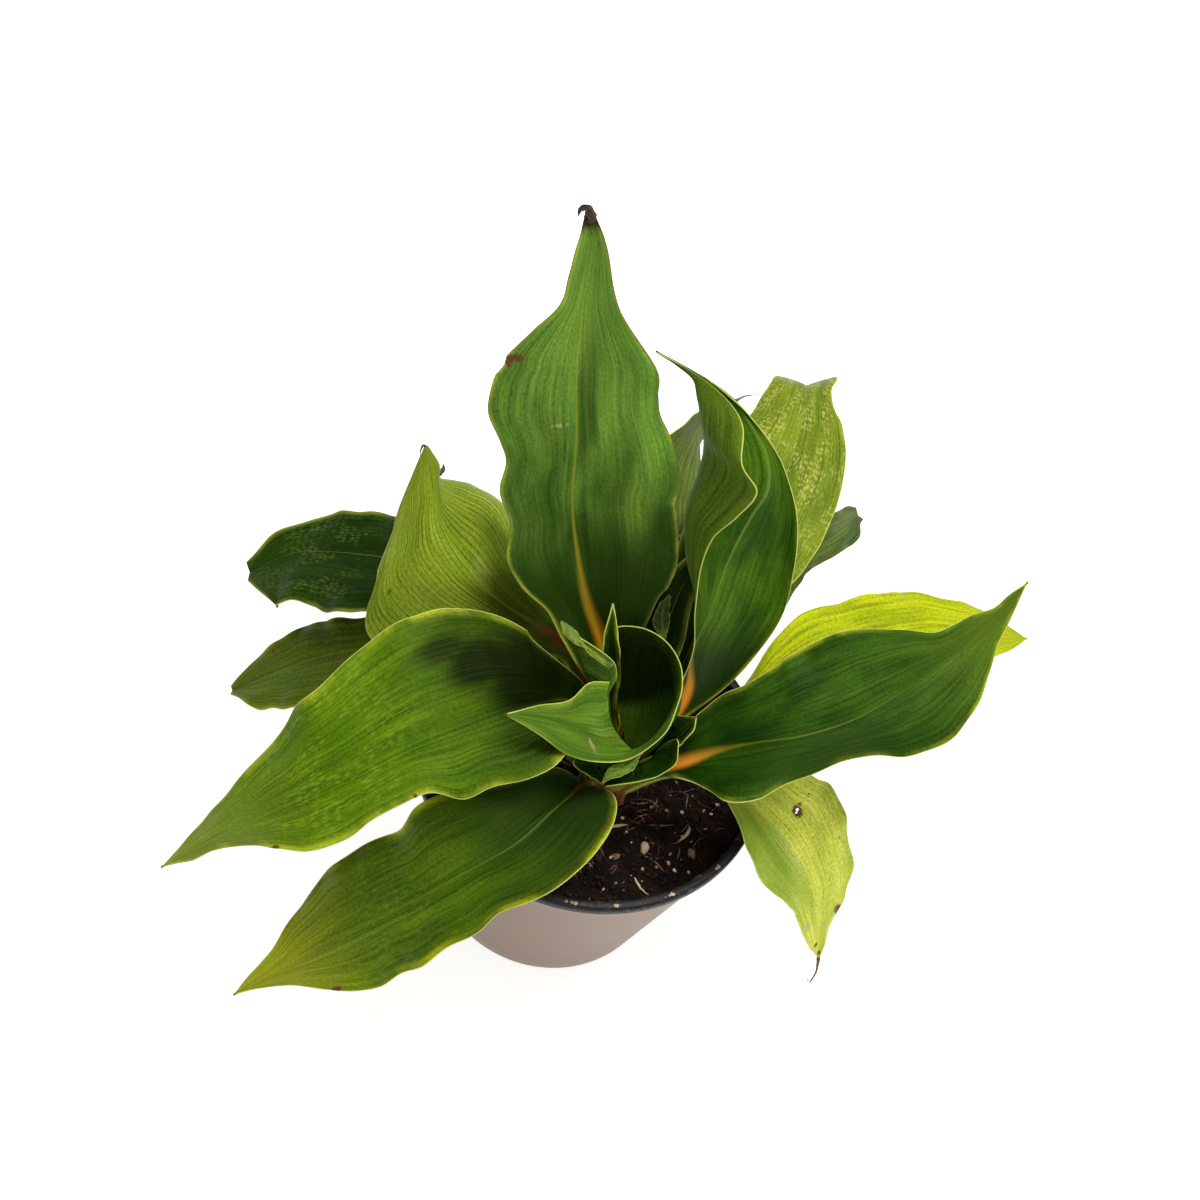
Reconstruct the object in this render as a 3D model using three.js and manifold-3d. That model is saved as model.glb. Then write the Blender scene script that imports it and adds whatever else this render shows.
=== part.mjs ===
// A potted spider plant of the broad-leaved kind, in a plain 12 cm nursery pot.
// Millimetres, +Z up. The origin is the centre of the pot's flat underside, and
// the soil's open side, where no leaf hides it, faces -Y.
import * as THREE from 'three';
import { mergeVertices } from 'three/addons/utils/BufferGeometryUtils.js';
import Module from 'manifold-3d';

const wasm = await Module();
wasm.setup();

const CLEARANCE = 0.3;

// Pot: a thin tapered shell with a thick lip, standing on a low foot ring.
const POT_HEIGHT = 92;
const LIP_RADIUS = 60;
const LIP_DEPTH = 4;
const LIP_OVERHANG = 1.6;
const BASE_RADIUS = 42;
const WALL = 1.4;
const FLOOR = 2;
const DRAIN_COUNT = 8;
const DRAIN_RADIUS = 4;
const DRAIN_CIRCLE = 30;
const POT_SIDES = 48;
const DRAIN_SIDES = 12;
const EDGE_ROUND = 0.8;

// Soil: fills the pot to just under its lip, a little heaped around the crown.
const SOIL_LEVEL = 83;
const SOIL_HEAP = 2.2;
const SOIL_ROUGHNESS = 0.7;
const SOIL_RINGS = [0.9, 0.75, 0.6, 0.45, 0.3, 0.15, 0];
const SOIL_SIDES = 40;

// Crown: the short fleshy stem that all leaves grow from. It stands off-centre.
const CROWN = new THREE.Vector2(8, -10);
const CROWN_RADIUS = 9;
const CROWN_FOOT = 58;
const CROWN_TOP = 104;
const CROWN_SIDES = 24;
const CROWN_TAPER = 7;
const CROWN_SHOULDER = 5;

// Leaf thickness, as distance from the middle surface to either face.
const BLADE_HALF = 0.32;
const RIB_HALF = 0.95;
const STALK_HALF = 0.95;
const STALK_WIDTH = 2.8;
const TIP_WIDTH = 0.45;
const RIB_REACH = 0.22;
const STALK_FADE = 0.08;
const STALK_EDGE_THINNING = 0.4;
const BEND_POWER = 1.6;
const WAVE_POWER = 2.4;

// Cross-section stations, as fractions of the half width from midrib to margin.
const ACROSS = [0, 0.3, 0.6, 0.83, 1];
const BEND_STEPS = 24;

const MATERIALS = {
  deep: { color: 0x2f5a1c, roughness: 0.45 },
  bright: { color: 0x4c7f22, roughness: 0.45 },
  yellowing: { color: 0x9bab2c, roughness: 0.55 },
  shaded: { color: 0x3d5a2b, roughness: 0.6 },
  pot: { color: 0x9a8476, roughness: 0.5 },
  soil: { color: 0x2a1b14, roughness: 0.95 },
  crown: { color: 0xb0742a, roughness: 0.6 },
};

// Each bend row holds four angles in degrees above the leaf's flat plane: on the left
// half at the midrib and at the margin, then the same on the right half. Rows are
// evenly spaced from the blade's base to its tip.
const FLAT_BEND = [
  [50, 62, 50, 62], [20, 10, 20, 10], [10, -6, 10, -6], [10, -4, 10, -4], [26, 18, 26, 18],
];

// Leaves. midrib: points from the seat in the crown to the tip. face: directions in which
// the upper face looks, evenly spaced from seat to tip. stalk: the share of the midrib that
// is stalk. left, right: half widths in mm, evenly spaced from blade base to tip, as seen
// on the upper face with the tip up. wave: margin height, waves per blade, and the phase
// in turns on each side.
const LEAVES = [
  {
    name: 'leaf_back_upright', look: 'deep', rows: 26, stalk: 0.1,
    midrib: [[4, -5, 101], [-1, 4, 114], [-7, 11, 130], [-17, 17, 143], [-24, 23, 155],
      [-31, 30, 171], [-35, 36, 190], [-40, 41, 209], [-44, 46, 231], [-46, 50, 249],
      [-49, 53, 258]],
    face: [[0.2, -0.6, 0.7], [0.1, -0.8, 0.6], [0, -0.8, 0.6]],
    left: [4, 9, 12.5, 13, 13.5, 19, 22, 19.5, 22, 20.5, 22.5, 26, 24.5, 20.5, 13.5, 6.5, 5, 4, 0],
    right: [4, 7, 12, 20, 27, 31, 32, 32, 31.5, 32.5, 29, 25, 24, 23.5, 17.5, 11.5, 8, 4.5, 0],
    wave: [1.6, 4, 0.1, 0.5],
  },
  {
    name: 'leaf_back_inner', look: 'deep', rows: 14, stalk: 0.15,
    midrib: [[11, -4, 95], [16.5, 10, 104.5], [20, 27, 118], [20, 41, 134], [18, 53, 150],
      [15, 64, 165], [11, 74, 177], [8, 80, 183]],
    face: [[-0.1, -0.7, 0.6], [-0.2, -0.8, 0.4], [-0.1, -0.9, 0.4]],
    left: [4, 8, 11, 13, 14, 14, 13, 12, 9, 5, 0],
    right: [4, 6, 8, 9, 10, 10, 10, 9, 7, 4, 0],
    wave: [1, 3, 0.2, 0.6],
  },
  {
    name: 'leaf_back_small', look: 'deep', rows: 10, stalk: 0.12,
    midrib: [[7, -4, 98], [8.5, 5, 108], [10, 15, 119], [10, 23, 131], [10, 30, 143],
      [12, 38, 151], [16, 46, 155]],
    face: [[0, -0.7, 0.7], [-0.1, -0.8, 0.5]],
    left: [4, 7, 9, 10, 10, 9.5, 8.5, 7, 5, 3, 0],
    right: [4, 5, 6, 7, 7, 7, 6, 5, 4, 2, 0],
    wave: [0.5, 3, 0.2, 0.6],
  },
  {
    name: 'leaf_far_right', look: 'yellowing', rows: 22, stalk: 0.3,
    midrib: [[9, -4, 90], [17, 14, 100], [26, 40, 111], [31, 67, 122], [32, 88, 129],
      [34, 109, 134], [34, 131, 136], [34, 146, 134], [34, 156, 128], [33, 162, 119]],
    face: [[0, -0.3, 1], [0, 0, 1], [0, 0.2, 1], [-0.4, 1, 0.6]],
    left: [4, 8.5, 13, 16.5, 19, 20.5, 22, 23, 23.5, 24, 24, 22.5, 18.5, 16.5, 15, 13.5, 13, 11, 4],
    right: [4, 8.5, 12.5, 15.5, 18, 19.5, 21, 21.5, 21.5, 21, 20, 18.5, 17, 14.5, 10.5, 9, 11, 11, 7],
    wave: [1.8, 3.5, 0.4, 0.15],
  },
  {
    name: 'leaf_far_right_low', look: 'shaded', rows: 14, stalk: 0.32,
    midrib: [[10, -4, 86], [20, 20, 94], [32, 57, 102], [42, 81, 104], [51, 98, 102],
      [62, 118, 96], [71, 141, 86]],
    face: [[0, -0.3, 1], [0.2, 0, 1], [0.4, 0.1, 0.9], [0.45, 0.15, 0.88]],
    left: [4, 7, 9.5, 11, 12.5, 13, 13, 12.5, 12, 11, 10, 9, 8.5, 8, 7.5, 7, 6.5, 6, 3.5],
    right: [4, 7, 9.5, 11, 12.5, 12, 11, 9.5, 8, 6.5, 6, 6, 6.5, 6.5, 6.6, 7, 6.5, 3.5, 2.5],
    wave: [1.4, 4, 0, 0.4],
  },
  {
    name: 'leaf_far_middle', look: 'shaded', rows: 14, stalk: 0.3,
    midrib: [[5, -5, 93], [3.5, 14, 106], [4, 38, 118], [2, 58, 128], [-2, 73, 137],
      [-3, 88, 142], [-1, 106, 141], [6, 122, 134]],
    face: [[0, -0.4, 1], [0, 0.2, 1], [-0.4, 0.9, 0.1], [-0.2, 0.8, -0.3]],
    left: [4, 9, 12.5, 13.5, 13, 12.5, 13, 14.5, 13, 8, 2],
    right: [4, 9, 12, 14, 14, 14, 13, 10.5, 7.5, 5, 2],
    bend: [[50, 62, 50, 62], [10, 0, 20, 10], [-30, -40, 10, -6], [-30, -40, 10, -4], [-10, -10, 26, 18]],
    wave: [1.2, 3, 0, 0.4],
  },
  {
    name: 'leaf_left_large', look: 'deep', rows: 26, stalk: 0.14,
    midrib: [[2, -13, 98], [-4, -13, 118], [-12, -12, 129], [-21, -20, 134], [-29, -29, 138],
      [-39, -41, 141], [-50, -52, 141], [-68, -68, 132], [-89, -77, 110], [-115, -82, 72]],
    face: [[-0.4, -0.2, 0.9], [-0.1, -0.3, 0.95], [0, -0.3, 0.95], [-0.3, -0.4, 0.85]],
    left: [4, 11, 17, 22, 22, 19, 19.5, 14.5, 13.5, 13.5, 15, 14.5, 10.5, 6.5, 4, 2.5, 3, 1.5, 0],
    right: [4, 9, 21, 30, 34.5, 36, 36, 33.5, 30, 27, 25.5, 21, 18, 13.5, 10, 8, 5.5, 2.5, 0],
    bend: [[45, 55, 45, 55], [0, -12, 16, 8], [0, -12, 10, -4], [4, -8, 10, -4], [26, 18, 26, 18]],
    wave: [1.6, 4, 0.6, 0.2],
  },
  {
    name: 'leaf_front_left', look: 'deep', rows: 26, stalk: 0.13,
    midrib: [[4, -15, 92], [2, -23, 103], [-1, -32, 111.5], [-6, -45, 119], [-13, -59, 119],
      [-25, -71, 113], [-36, -79, 102], [-57, -91, 78], [-82, -103, 45]],
    face: [[-0.3, -0.6, 0.8], [-0.2, -0.4, 0.9], [-0.3, -0.4, 0.9], [-0.4, -0.5, 0.75]],
    left: [4, 15, 19.5, 21, 20, 18, 16, 18, 17.5, 19.5, 18, 18.5, 17, 13.5, 9.5, 6, 3.5, 1.5, 0],
    right: [4, 9.5, 12, 16, 20.5, 22, 23.5, 24, 21.5, 22.5, 22.5, 21.5, 20.5, 17, 13.5, 8, 5, 3, 0],
    bend: [[34, 42, 50, 62], [16, 8, 20, 10], [10, -6, 10, -6], [10, -4, 10, -4], [26, 18, 26, 18]],
    wave: [1.6, 4, 0.3, 0.8],
  },
  {
    name: 'leaf_right_large', look: 'deep', rows: 26, stalk: 0.12,
    midrib: [[14.3, -12, 96], [21, -12, 105.5], [29, -11.5, 116.5], [37, -9, 125.5],
      [47, -7, 134], [59, -3, 139], [71, 5, 142], [80, 14, 144], [91, 28, 146], [106, 49, 152],
      [117, 71, 158]],
    face: [[0.3, -0.2, 0.9], [0, -0.3, 0.95], [0.1, -0.4, 0.9], [-0.1, -0.6, 0.8]],
    left: [4, 8.5, 13, 17, 18.5, 22.5, 25, 26.5, 27, 26.5, 24.5, 21.5, 16.5, 10, 8, 6.5, 3, 2, 0],
    right: [4, 8, 15, 19.5, 18.5, 14, 12, 11, 13, 17.5, 19.5, 21, 19, 16, 11.5, 6.5, 4, 2, 0],
    bend: [[8, 10, 45, 55], [10, 2, 12, 2], [8, -6, 8, -8], [10, -4, 10, -4], [26, 18, 26, 18]],
    wave: [1.4, 4, 0.2, 0.5],
  },
  {
    name: 'leaf_right_under', look: 'yellowing', rows: 20, stalk: 0.26,
    midrib: [[13.5, -7, 87], [23, 3, 98], [36, 14, 104], [47, 28, 109], [62, 42, 113],
      [81, 57, 113], [108, 80, 105], [143, 108, 88]],
    face: [[0, -0.2, 1], [0, -0.1, 1], [0, -0.2, 1], [0.1, -0.2, 1]],
    left: [4, 8, 12.5, 16, 19, 20.5, 20, 21, 21, 21, 21, 20.5, 17.5, 15, 13.5, 11, 7.5, 3.5, 0],
    right: [4, 8, 11.5, 14.5, 16.5, 17.5, 18.5, 19, 18.5, 18, 17, 15.5, 13.5, 11, 9, 7, 5.5, 3, 0],
    wave: [1.4, 3.5, 0.7, 0.3],
  },
  {
    name: 'leaf_right_drooping', look: 'yellowing', rows: 20, stalk: 0.25,
    midrib: [[14, -12.5, 89], [25, -7.5, 99.5], [36, -4, 102], [53, -8, 101], [65, -12, 96],
      [79, -16, 84], [90, -20, 66], [99, -25, 46]],
    face: [[0, -0.2, 1], [0, -0.2, 1], [0.3, -0.4, 0.85], [0.6, -0.5, 0.6]],
    left: [4, 8.5, 13, 17, 20, 22, 25, 24.5, 23.5, 21.5, 20.5, 20.5, 18.5, 13.5, 11.5, 6.5, 4, 2, 0],
    right: [4, 5.5, 7, 9, 11, 13, 14.5, 15, 14, 13, 11, 9.5, 7.5, 7, 7, 6, 4.5, 2, 0],
    wave: [1, 4, 0.4, 0],
  },
  {
    name: 'leaf_left_outer', look: 'shaded', rows: 20, stalk: 0.33,
    midrib: [[2, -8, 93], [-20, 10, 104], [-45, 27, 112], [-67, 32, 110], [-85, 34, 106],
      [-106, 35, 97], [-120, 35, 88], [-132, 29, 78]],
    face: [[0, -0.2, 1], [0, -0.2, 1], [0, -0.1, 1], [-0.3, -0.2, 0.9]],
    left: [4, 7.5, 10.5, 13.5, 16, 17.5, 19, 21, 23, 25, 26, 25, 22.5, 21.5, 23.5, 24, 22.5, 15.5, 5],
    right: [4, 7.5, 10.5, 13, 14.5, 15.5, 16.5, 17, 17, 17, 18.5, 17.5, 16.5, 16, 13.5, 11, 9, 6, 4],
    wave: [1.4, 4, 0.1, 0.6],
  },
  {
    name: 'leaf_left_low', look: 'shaded', rows: 18, stalk: 0.33,
    midrib: [[2, -10, 88], [-20, -3, 98], [-42, 3, 102], [-62, 6, 99], [-80, 6, 92],
      [-97, 4, 80], [-111, 1, 66], [-125, -2, 50]],
    face: [[0, -0.2, 1], [0, -0.2, 1], [-0.2, -0.2, 0.95], [-0.5, -0.3, 0.8]],
    left: [4, 7.5, 10.5, 13, 15, 16.5, 18, 19, 19.5, 20, 19.5, 18.5, 17, 16.5, 14, 13.5, 10, 5.5, 2],
    right: [4, 7, 9.5, 11, 12.5, 13, 13, 13, 12, 12.5, 13, 14, 14, 12, 11, 9.5, 7, 4.5, 2],
    wave: [1.2, 4, 0.5, 0.2],
  },
  {
    name: 'leaf_young_spear', look: 'bright', rows: 11, stalk: 0.2,
    midrib: [[6.6, -7.2, 104.6], [2.6, -6, 118], [-2, -2.8, 132], [-6.2, 2, 145], [-9, 7, 159]],
    face: [[0.3, -0.5, 0.6], [0.3, -0.7, 0.6]],
    left: [1.6, 1.8, 2.2, 3, 4, 5, 5.2, 4.6, 3.4, 1.8, 0],
    right: [1.6, 1.8, 2.2, 3, 4, 4.6, 4.8, 4.4, 3.2, 1.8, 0],
    bend: [[20, 30, 20, 30], [45, 60, 45, 60], [45, 58, 45, 58]],
    wave: [0, 1, 0, 0],
  },
  {
    name: 'leaf_young_right', look: 'bright', rows: 10, stalk: 0.15,
    midrib: [[15.5, -8.3, 101], [19.8, -8, 110], [23.5, -7.2, 119], [26, -5, 125],
      [27.5, -2, 129]],
    face: [[-0.6, 0, 0.6], [-0.5, -0.2, 0.8]],
    left: [2.4, 2.6, 3.5, 5, 6.5, 8, 8.5, 8, 6.5, 4, 0],
    right: [2.6, 2.6, 2.8, 3, 3.2, 3.6, 4, 4, 3.6, 2.6, 0],
    bend: [[50, 70, 50, 70], [15, 30, 20, 40], [5, 10, 10, 20]],
    wave: [0, 1, 0, 0],
  },
];

// Leaves that roll or fold too far for a plain bend. Each station, from seat to tip, gives
// five points across the leaf: left margin, middle of the left half, midrib, middle of the
// right half, right margin.
const ROLLED_LEAVES = [
  {
    name: 'leaf_back_rolled', look: 'bright', rows: 26, stalk: 0.12,
    stations: [
      [[10.7, -5.6, 101.2], [11.9, -5.8, 100.6], [13, -6, 100], [14.1, -6.2, 99.4], [15.3, -6.4, 98.8]],
      [[17.5, 5, 111], [18.5, 5, 109.7], [20, 5, 109], [21.5, 4.7, 108.6], [22.5, 4.3, 108.6]],
      [[20, 11, 123], [21, 12, 121], [23, 13, 119], [29, 17.5, 117], [35, 20, 118]],
      [[20, 15, 139], [19.5, 17, 136], [20, 18, 133], [31, 26, 131], [41, 29, 130]],
      [[16, 20, 152], [16.5, 24, 149.5], [21, 26, 146], [34, 35, 143], [44, 37, 143]],
      [[13, 25, 166], [8, 31, 164], [21, 36.5, 160], [33, 44, 157], [42, 44, 157]],
      [[13, 26, 180], [3, 37, 178], [23, 45.5, 172], [32, 51, 169], [38, 51, 170]],
      [[17, 27, 191], [3, 42, 189], [25, 51, 181], [29, 55, 180], [31, 56, 181]],
      [[20, 30, 201], [1, 46, 197], [21, 56, 190], [23, 58, 189], [24, 58, 189]],
      [[13, 32, 208], [-2, 48, 203], [14, 58, 197], [16, 59, 196], [17, 59, 196]],
      [[10, 42, 212], [-5, 51, 208], [6, 60, 203], [8, 60, 202], [8, 59, 203]],
      [[4, 50, 212], [-8, 55, 211], [-2, 60, 207], [-1, 60.5, 206.5], [-1, 60, 207]],
      [[-9, 56, 213], [-14, 57.5, 212], [-11, 59, 211], [-10, 59.5, 210], [-11, 59.5, 210]],
      [[-20.6, 58.6, 213.2], [-20.8, 58.8, 213], [-21, 59, 213], [-21.2, 59.2, 213], [-21.4, 59.4, 212.8]],
    ],
  },
  {
    name: 'leaf_left_twisted', look: 'bright', rows: 22, stalk: 0.25,
    stations: [
      [[1, -8, 99], [1.5, -7, 98], [2.5, -6, 98], [3, -5, 98], [3.5, -4, 99]],
      [[-8, 0, 112], [-7, 1.5, 111], [-6, 3, 110.5], [-5, 4.5, 111], [-4, 6, 112]],
      [[-18, 7, 121], [-17, 9, 121], [-15, 11, 121], [-14, 13, 122], [-13, 15, 123]],
      [[-30, 3, 121], [-29, 8, 125], [-28, 12, 127], [-26, 18, 129], [-24, 23, 130]],
      [[-50, -3, 117], [-46, 5, 128], [-41, 12, 133], [-40, 26, 136], [-38, 36, 130]],
      [[-68, -7, 113], [-61, 4, 130], [-52, 13, 139], [-54, 39, 142.5], [-52, 49.5, 130.5]],
      [[-80, -4, 118], [-73, 7, 136], [-61, 16, 145], [-64, 37, 148.7], [-64, 47.5, 138]],
      [[-82, 3, 128], [-76.5, 12, 142], [-67.5, 20, 151], [-70, 32.5, 154], [-71, 41, 147]],
      [[-82, 14, 138], [-77.5, 20, 149], [-71, 25.5, 155.5], [-72.5, 32, 157], [-74, 36.5, 152]],
      [[-81.5, 24, 150], [-79.3, 27, 157], [-74.5, 30, 161.5], [-74, 33.5, 162], [-75, 36.5, 158]],
      [[-79.4, 33.6, 168], [-79.2, 33.8, 168], [-79, 34, 168], [-78.8, 34.2, 168], [-78.6, 34.4, 168]],
    ],
  },
  {
    name: 'leaf_young_cup', look: 'bright', rows: 24, stalk: 0.08,
    stations: [
      [[11, -5, 104.8], [13, -9, 104.6], [9, -13.5, 104.6], [4, -10, 104.6], [5, -6, 104.8]],
      [[1, 2.5, 121], [19, -3.5, 118], [11, -16, 113], [1, -11, 117], [-3, -3, 122]],
      [[-7, 5, 146], [20, 1, 134], [13, -17, 120], [-1, -13, 128], [-12, -2, 146]],
      [[1, 7, 152], [20, -3, 136], [12.5, -18, 123], [-1, -15, 134], [-17, -3, 151]],
      [[10, 5, 152], [19.5, -8, 136], [12, -19.5, 126], [0, -17, 137], [-9, -5, 151]],
      [[17, -1, 150], [18, -13, 135], [11, -21, 128], [1, -18, 138], [-3, -7, 150]],
      [[19.5, -9, 145.5], [16, -18, 134], [9, -22.5, 129], [0, -19, 138], [-1, -9.5, 148]],
      [[18.5, -19, 140], [13, -22, 131.5], [6, -24.5, 130.5], [-1, -20.5, 138], [-1, -11, 146]],
      [[10, -28, 133], [5, -28.5, 132], [-1, -27, 135], [-5, -23, 140], [-8, -15, 147]],
      [[-5, -36, 138], [-6.5, -34.5, 139.5], [-9, -31, 142], [-11, -28, 144.5], [-12, -24, 148]],
      [[-17, -37, 145.5], [-18, -36, 146.5], [-18, -34.5, 147.5], [-19, -33, 149], [-20, -31, 151]],
      [[-28.4, -38, 151.6], [-28.2, -38, 152], [-28, -38, 152], [-27.8, -38, 152], [-27.6, -38, 152.3]],
    ],
  },
  {
    name: 'leaf_young_front', look: 'bright', rows: 16, stalk: 0.12,
    stations: [
      [[12.5, -17.4, 98], [11.7, -17.8, 98], [11, -18, 98], [10.2, -18, 98], [9.5, -17.8, 98]],
      [[17, -14, 108], [15.5, -16.8, 107.5], [12.5, -18.3, 107], [8, -18.5, 107], [5.5, -17.5, 108]],
      [[20.5, -10, 119.5], [18.8, -13, 115.5], [13, -17.8, 113.5], [5, -18.6, 113.5], [-0.5, -18.8, 115]],
      [[24, -11.5, 127.5], [22, -15, 118.5], [14.5, -20, 114.5], [6, -21.5, 114.5], [-4.5, -24, 116.5]],
      [[25.5, -18, 123.5], [21.5, -19, 118], [14.5, -22, 115.5], [7, -24.5, 115.5], [-1, -27.5, 117.5]],
      [[19.5, -22.8, 119], [17, -23, 117.5], [12.5, -24.5, 116.5], [8, -26.5, 116.5], [3, -28.5, 118]],
      [[7, -31, 119.5], [6.8, -30.9, 119.5], [6.6, -30.8, 119.5], [6.4, -30.7, 119.5], [6.2, -30.6, 119.5]],
    ],
  },
];

const ALL_LEAVES = [...LEAVES, ...ROLLED_LEAVES];

// Smooth curve through evenly spaced values, read at x between 0 and 1.
function through(values, x) {
  const place = Math.min(Math.max(x, 0), 1) * (values.length - 1);
  const start = Math.min(Math.floor(place), values.length - 2);
  const t = place - start;
  const p1 = values[start];
  const p2 = values[start + 1];
  const p0 = start > 0 ? values[start - 1] : 2 * p1 - p2;
  const p3 = start < values.length - 2 ? values[start + 2] : 2 * p2 - p1;
  const slope1 = (p2 - p0) / 2;
  const slope2 = (p3 - p1) / 2;
  const rise = p2 - p1;
  const square = 3 * rise - 2 * slope1 - slope2;
  const cube = slope1 + slope2 - 2 * rise;
  return p1 + t * (slope1 + t * (square + t * cube));
}

function throughRows(rows, x) {
  return rows[0].map((_, k) => through(rows.map((row) => row[k]), x));
}

// One half of a cross-section: offsets across and above the flat plane at a share of its width.
function bentOffset(share, width, atRib, atMargin) {
  let across = 0;
  let above = 0;
  for (let i = 0; i < BEND_STEPS; i += 1) {
    const at = ((i + 0.5) / BEND_STEPS) * share;
    const angle = THREE.MathUtils.degToRad(atRib + (atMargin - atRib) * at ** BEND_POWER);
    across += Math.cos(angle);
    above += Math.sin(angle);
  }
  const step = (share * width) / BEND_STEPS;
  return [across * step, above * step];
}

// Half the leaf's thickness: a round stalk, then a thin blade with a rib that runs out.
function halfThickness(blade, share) {
  const rib = Math.max(1 - share / RIB_REACH, 0) * (1 - blade);
  const bladeHalf = BLADE_HALF + (RIB_HALF - BLADE_HALF) * rib;
  const stalkShare = Math.max(1 - blade / STALK_FADE, 0);
  return THREE.MathUtils.lerp(bladeHalf, STALK_HALF * (1 - STALK_EDGE_THINNING * share), stalkShare);
}

// A point on the middle surface of a leaf that is bent from its midrib. t runs from -1 at the
// left margin to 1 at the right.
function bentSurface(leaf) {
  const ribPoints = leaf.midrib.map((p) => new THREE.Vector3(...p));
  const curve = new THREE.CatmullRomCurve3(ribPoints, false, 'catmullrom', 0.5);
  const [height, count, leftPhase, rightPhase] = leaf.wave;
  return (s, blade, t) => {
    const along = curve.getTangentAt(s);
    const normal = new THREE.Vector3(...throughRows(leaf.face, s));
    normal.addScaledVector(along, -normal.dot(along)).normalize();
    const rightward = new THREE.Vector3().crossVectors(along, normal);
    const isLeft = t < 0;
    const share = Math.abs(t);
    const widths = isLeft ? leaf.left : leaf.right;
    const width = s < leaf.stalk
      ? THREE.MathUtils.lerp(STALK_WIDTH, widths[0], s / leaf.stalk)
      : Math.max(through(widths, blade), TIP_WIDTH);
    const bend = throughRows(leaf.bend ?? FLAT_BEND, blade);
    const [across, above] = bentOffset(share, width, bend[isLeft ? 0 : 2], bend[isLeft ? 1 : 3]);
    const turn = count * blade + (isLeft ? leftPhase : rightPhase);
    const swell = height * Math.sin(Math.PI * blade) * share ** WAVE_POWER;
    const ripple = swell * Math.sin(2 * Math.PI * turn);
    return curve.getPointAt(s)
      .addScaledVector(rightward, isLeft ? -across : across)
      .addScaledVector(normal, above + ripple);
  };
}

// The same for a leaf drawn through stations of five points.
function rolledSurface(leaf) {
  const stations = leaf.stations.map((station) => station.flat());
  return (s, blade, t) => {
    const row = throughRows(stations, s);
    const pointAt = (k) => new THREE.Vector3(...row.slice(3 * k, 3 * k + 3));
    const share = Math.abs(t);
    const rib = pointAt(2).multiplyScalar((1 - share) * (1 - 2 * share));
    const middle = pointAt(t < 0 ? 1 : 3).multiplyScalar(4 * share * (1 - share));
    const margin = pointAt(t < 0 ? 0 : 4).multiplyScalar(share * (2 * share - 1));
    return rib.add(middle).add(margin);
  };
}

// The leaf's middle surface as rows of points from seat to tip, margin to margin.
function leafRows(leaf) {
  const pointAt = leaf.stations ? rolledSurface(leaf) : bentSurface(leaf);
  const columns = [...ACROSS.slice(1).reverse().map((u) => -u), ...ACROSS];
  return Array.from({ length: leaf.rows + 1 }, (_, i) => {
    const s = i / leaf.rows;
    const blade = Math.max((s - leaf.stalk) / (1 - leaf.stalk), 0);
    return columns.map((t) => ({ point: pointAt(s, blade, t), half: halfThickness(blade, Math.abs(t)) }));
  });
}

// A closed solid around that surface. Both faces are split along the same diagonals.
function leafGeometry(leaf) {
  const rows = leafRows(leaf);
  const last = rows[0].length - 1;
  const positions = [];
  const tip = rows.length - 1;
  const side = (row, column, sign) => {
    const { point, half } = rows[row][column];
    const near = Math.min(row, tip - 1);
    const between = (r1, c1, r2, c2) => rows[r2][c2].point.clone().sub(rows[r1][c1].point);
    const rightward = between(near, Math.max(column - 1, 0), near, Math.min(column + 1, last));
    const tipward = between(Math.max(near - 1, 0), column, near + 1, column);
    return point.clone().addScaledVector(rightward.cross(tipward).normalize(), sign * half);
  };
  const width = last + 1;
  const upper = (row, column) => 2 * (row * width + column);
  const lower = (row, column) => upper(row, column) + 1;
  rows.forEach((row, i) => row.forEach((_, j) => {
    positions.push(...side(i, j, 1).toArray(), ...side(i, j, -1).toArray());
  }));
  const index = [];
  const quad = (a, b, c, d) => index.push(a, b, c, a, c, d);
  for (let i = 0; i < tip; i += 1) {
    for (let j = 0; j < last; j += 1) {
      quad(upper(i, j), upper(i, j + 1), upper(i + 1, j + 1), upper(i + 1, j));
      index.push(lower(i, j), lower(i + 1, j + 1), lower(i, j + 1));
      index.push(lower(i, j), lower(i + 1, j), lower(i + 1, j + 1));
    }
    quad(upper(i, last), lower(i, last), lower(i + 1, last), upper(i + 1, last));
    quad(lower(i, 0), upper(i, 0), upper(i + 1, 0), lower(i + 1, 0));
  }
  for (let j = 0; j < last; j += 1) {
    quad(upper(0, j), lower(0, j), lower(0, j + 1), upper(0, j + 1));
    quad(lower(tip, j), upper(tip, j), upper(tip, j + 1), lower(tip, j + 1));
  }
  const geometry = new THREE.BufferGeometry();
  geometry.setAttribute('position', new THREE.Float32BufferAttribute(positions, 3));
  geometry.setIndex(index);
  return geometry;
}

function toSolid(geometry) {
  geometry.deleteAttribute('normal');
  geometry.deleteAttribute('uv');
  const merged = mergeVertices(geometry, 1e-4);
  return new wasm.Manifold(new wasm.Mesh({
    numProp: 3,
    vertProperties: new Float32Array(merged.attributes.position.array),
    triVerts: new Uint32Array(merged.index.array),
  }));
}

function fromSolid(solid) {
  const { vertProperties, triVerts } = solid.getMesh();
  const geometry = new THREE.BufferGeometry();
  geometry.setAttribute('position', new THREE.BufferAttribute(new Float32Array(vertProperties), 3));
  geometry.setIndex(new THREE.BufferAttribute(new Uint32Array(triVerts), 1));
  return geometry;
}

// A solid of revolution about +Z from [radius, height] pairs, from the axis up to the axis.
function turned(profile, sides) {
  const geometry = new THREE.LatheGeometry(profile.map(([r, z]) => new THREE.Vector2(r, z)), sides);
  return geometry.rotateX(Math.PI / 2);
}

const wallRadius = LIP_RADIUS - LIP_OVERHANG;
const wallSlope = (wallRadius - BASE_RADIUS) / (POT_HEIGHT - LIP_DEPTH);
const outerWallAt = (z) => BASE_RADIUS + wallSlope * z;

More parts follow.
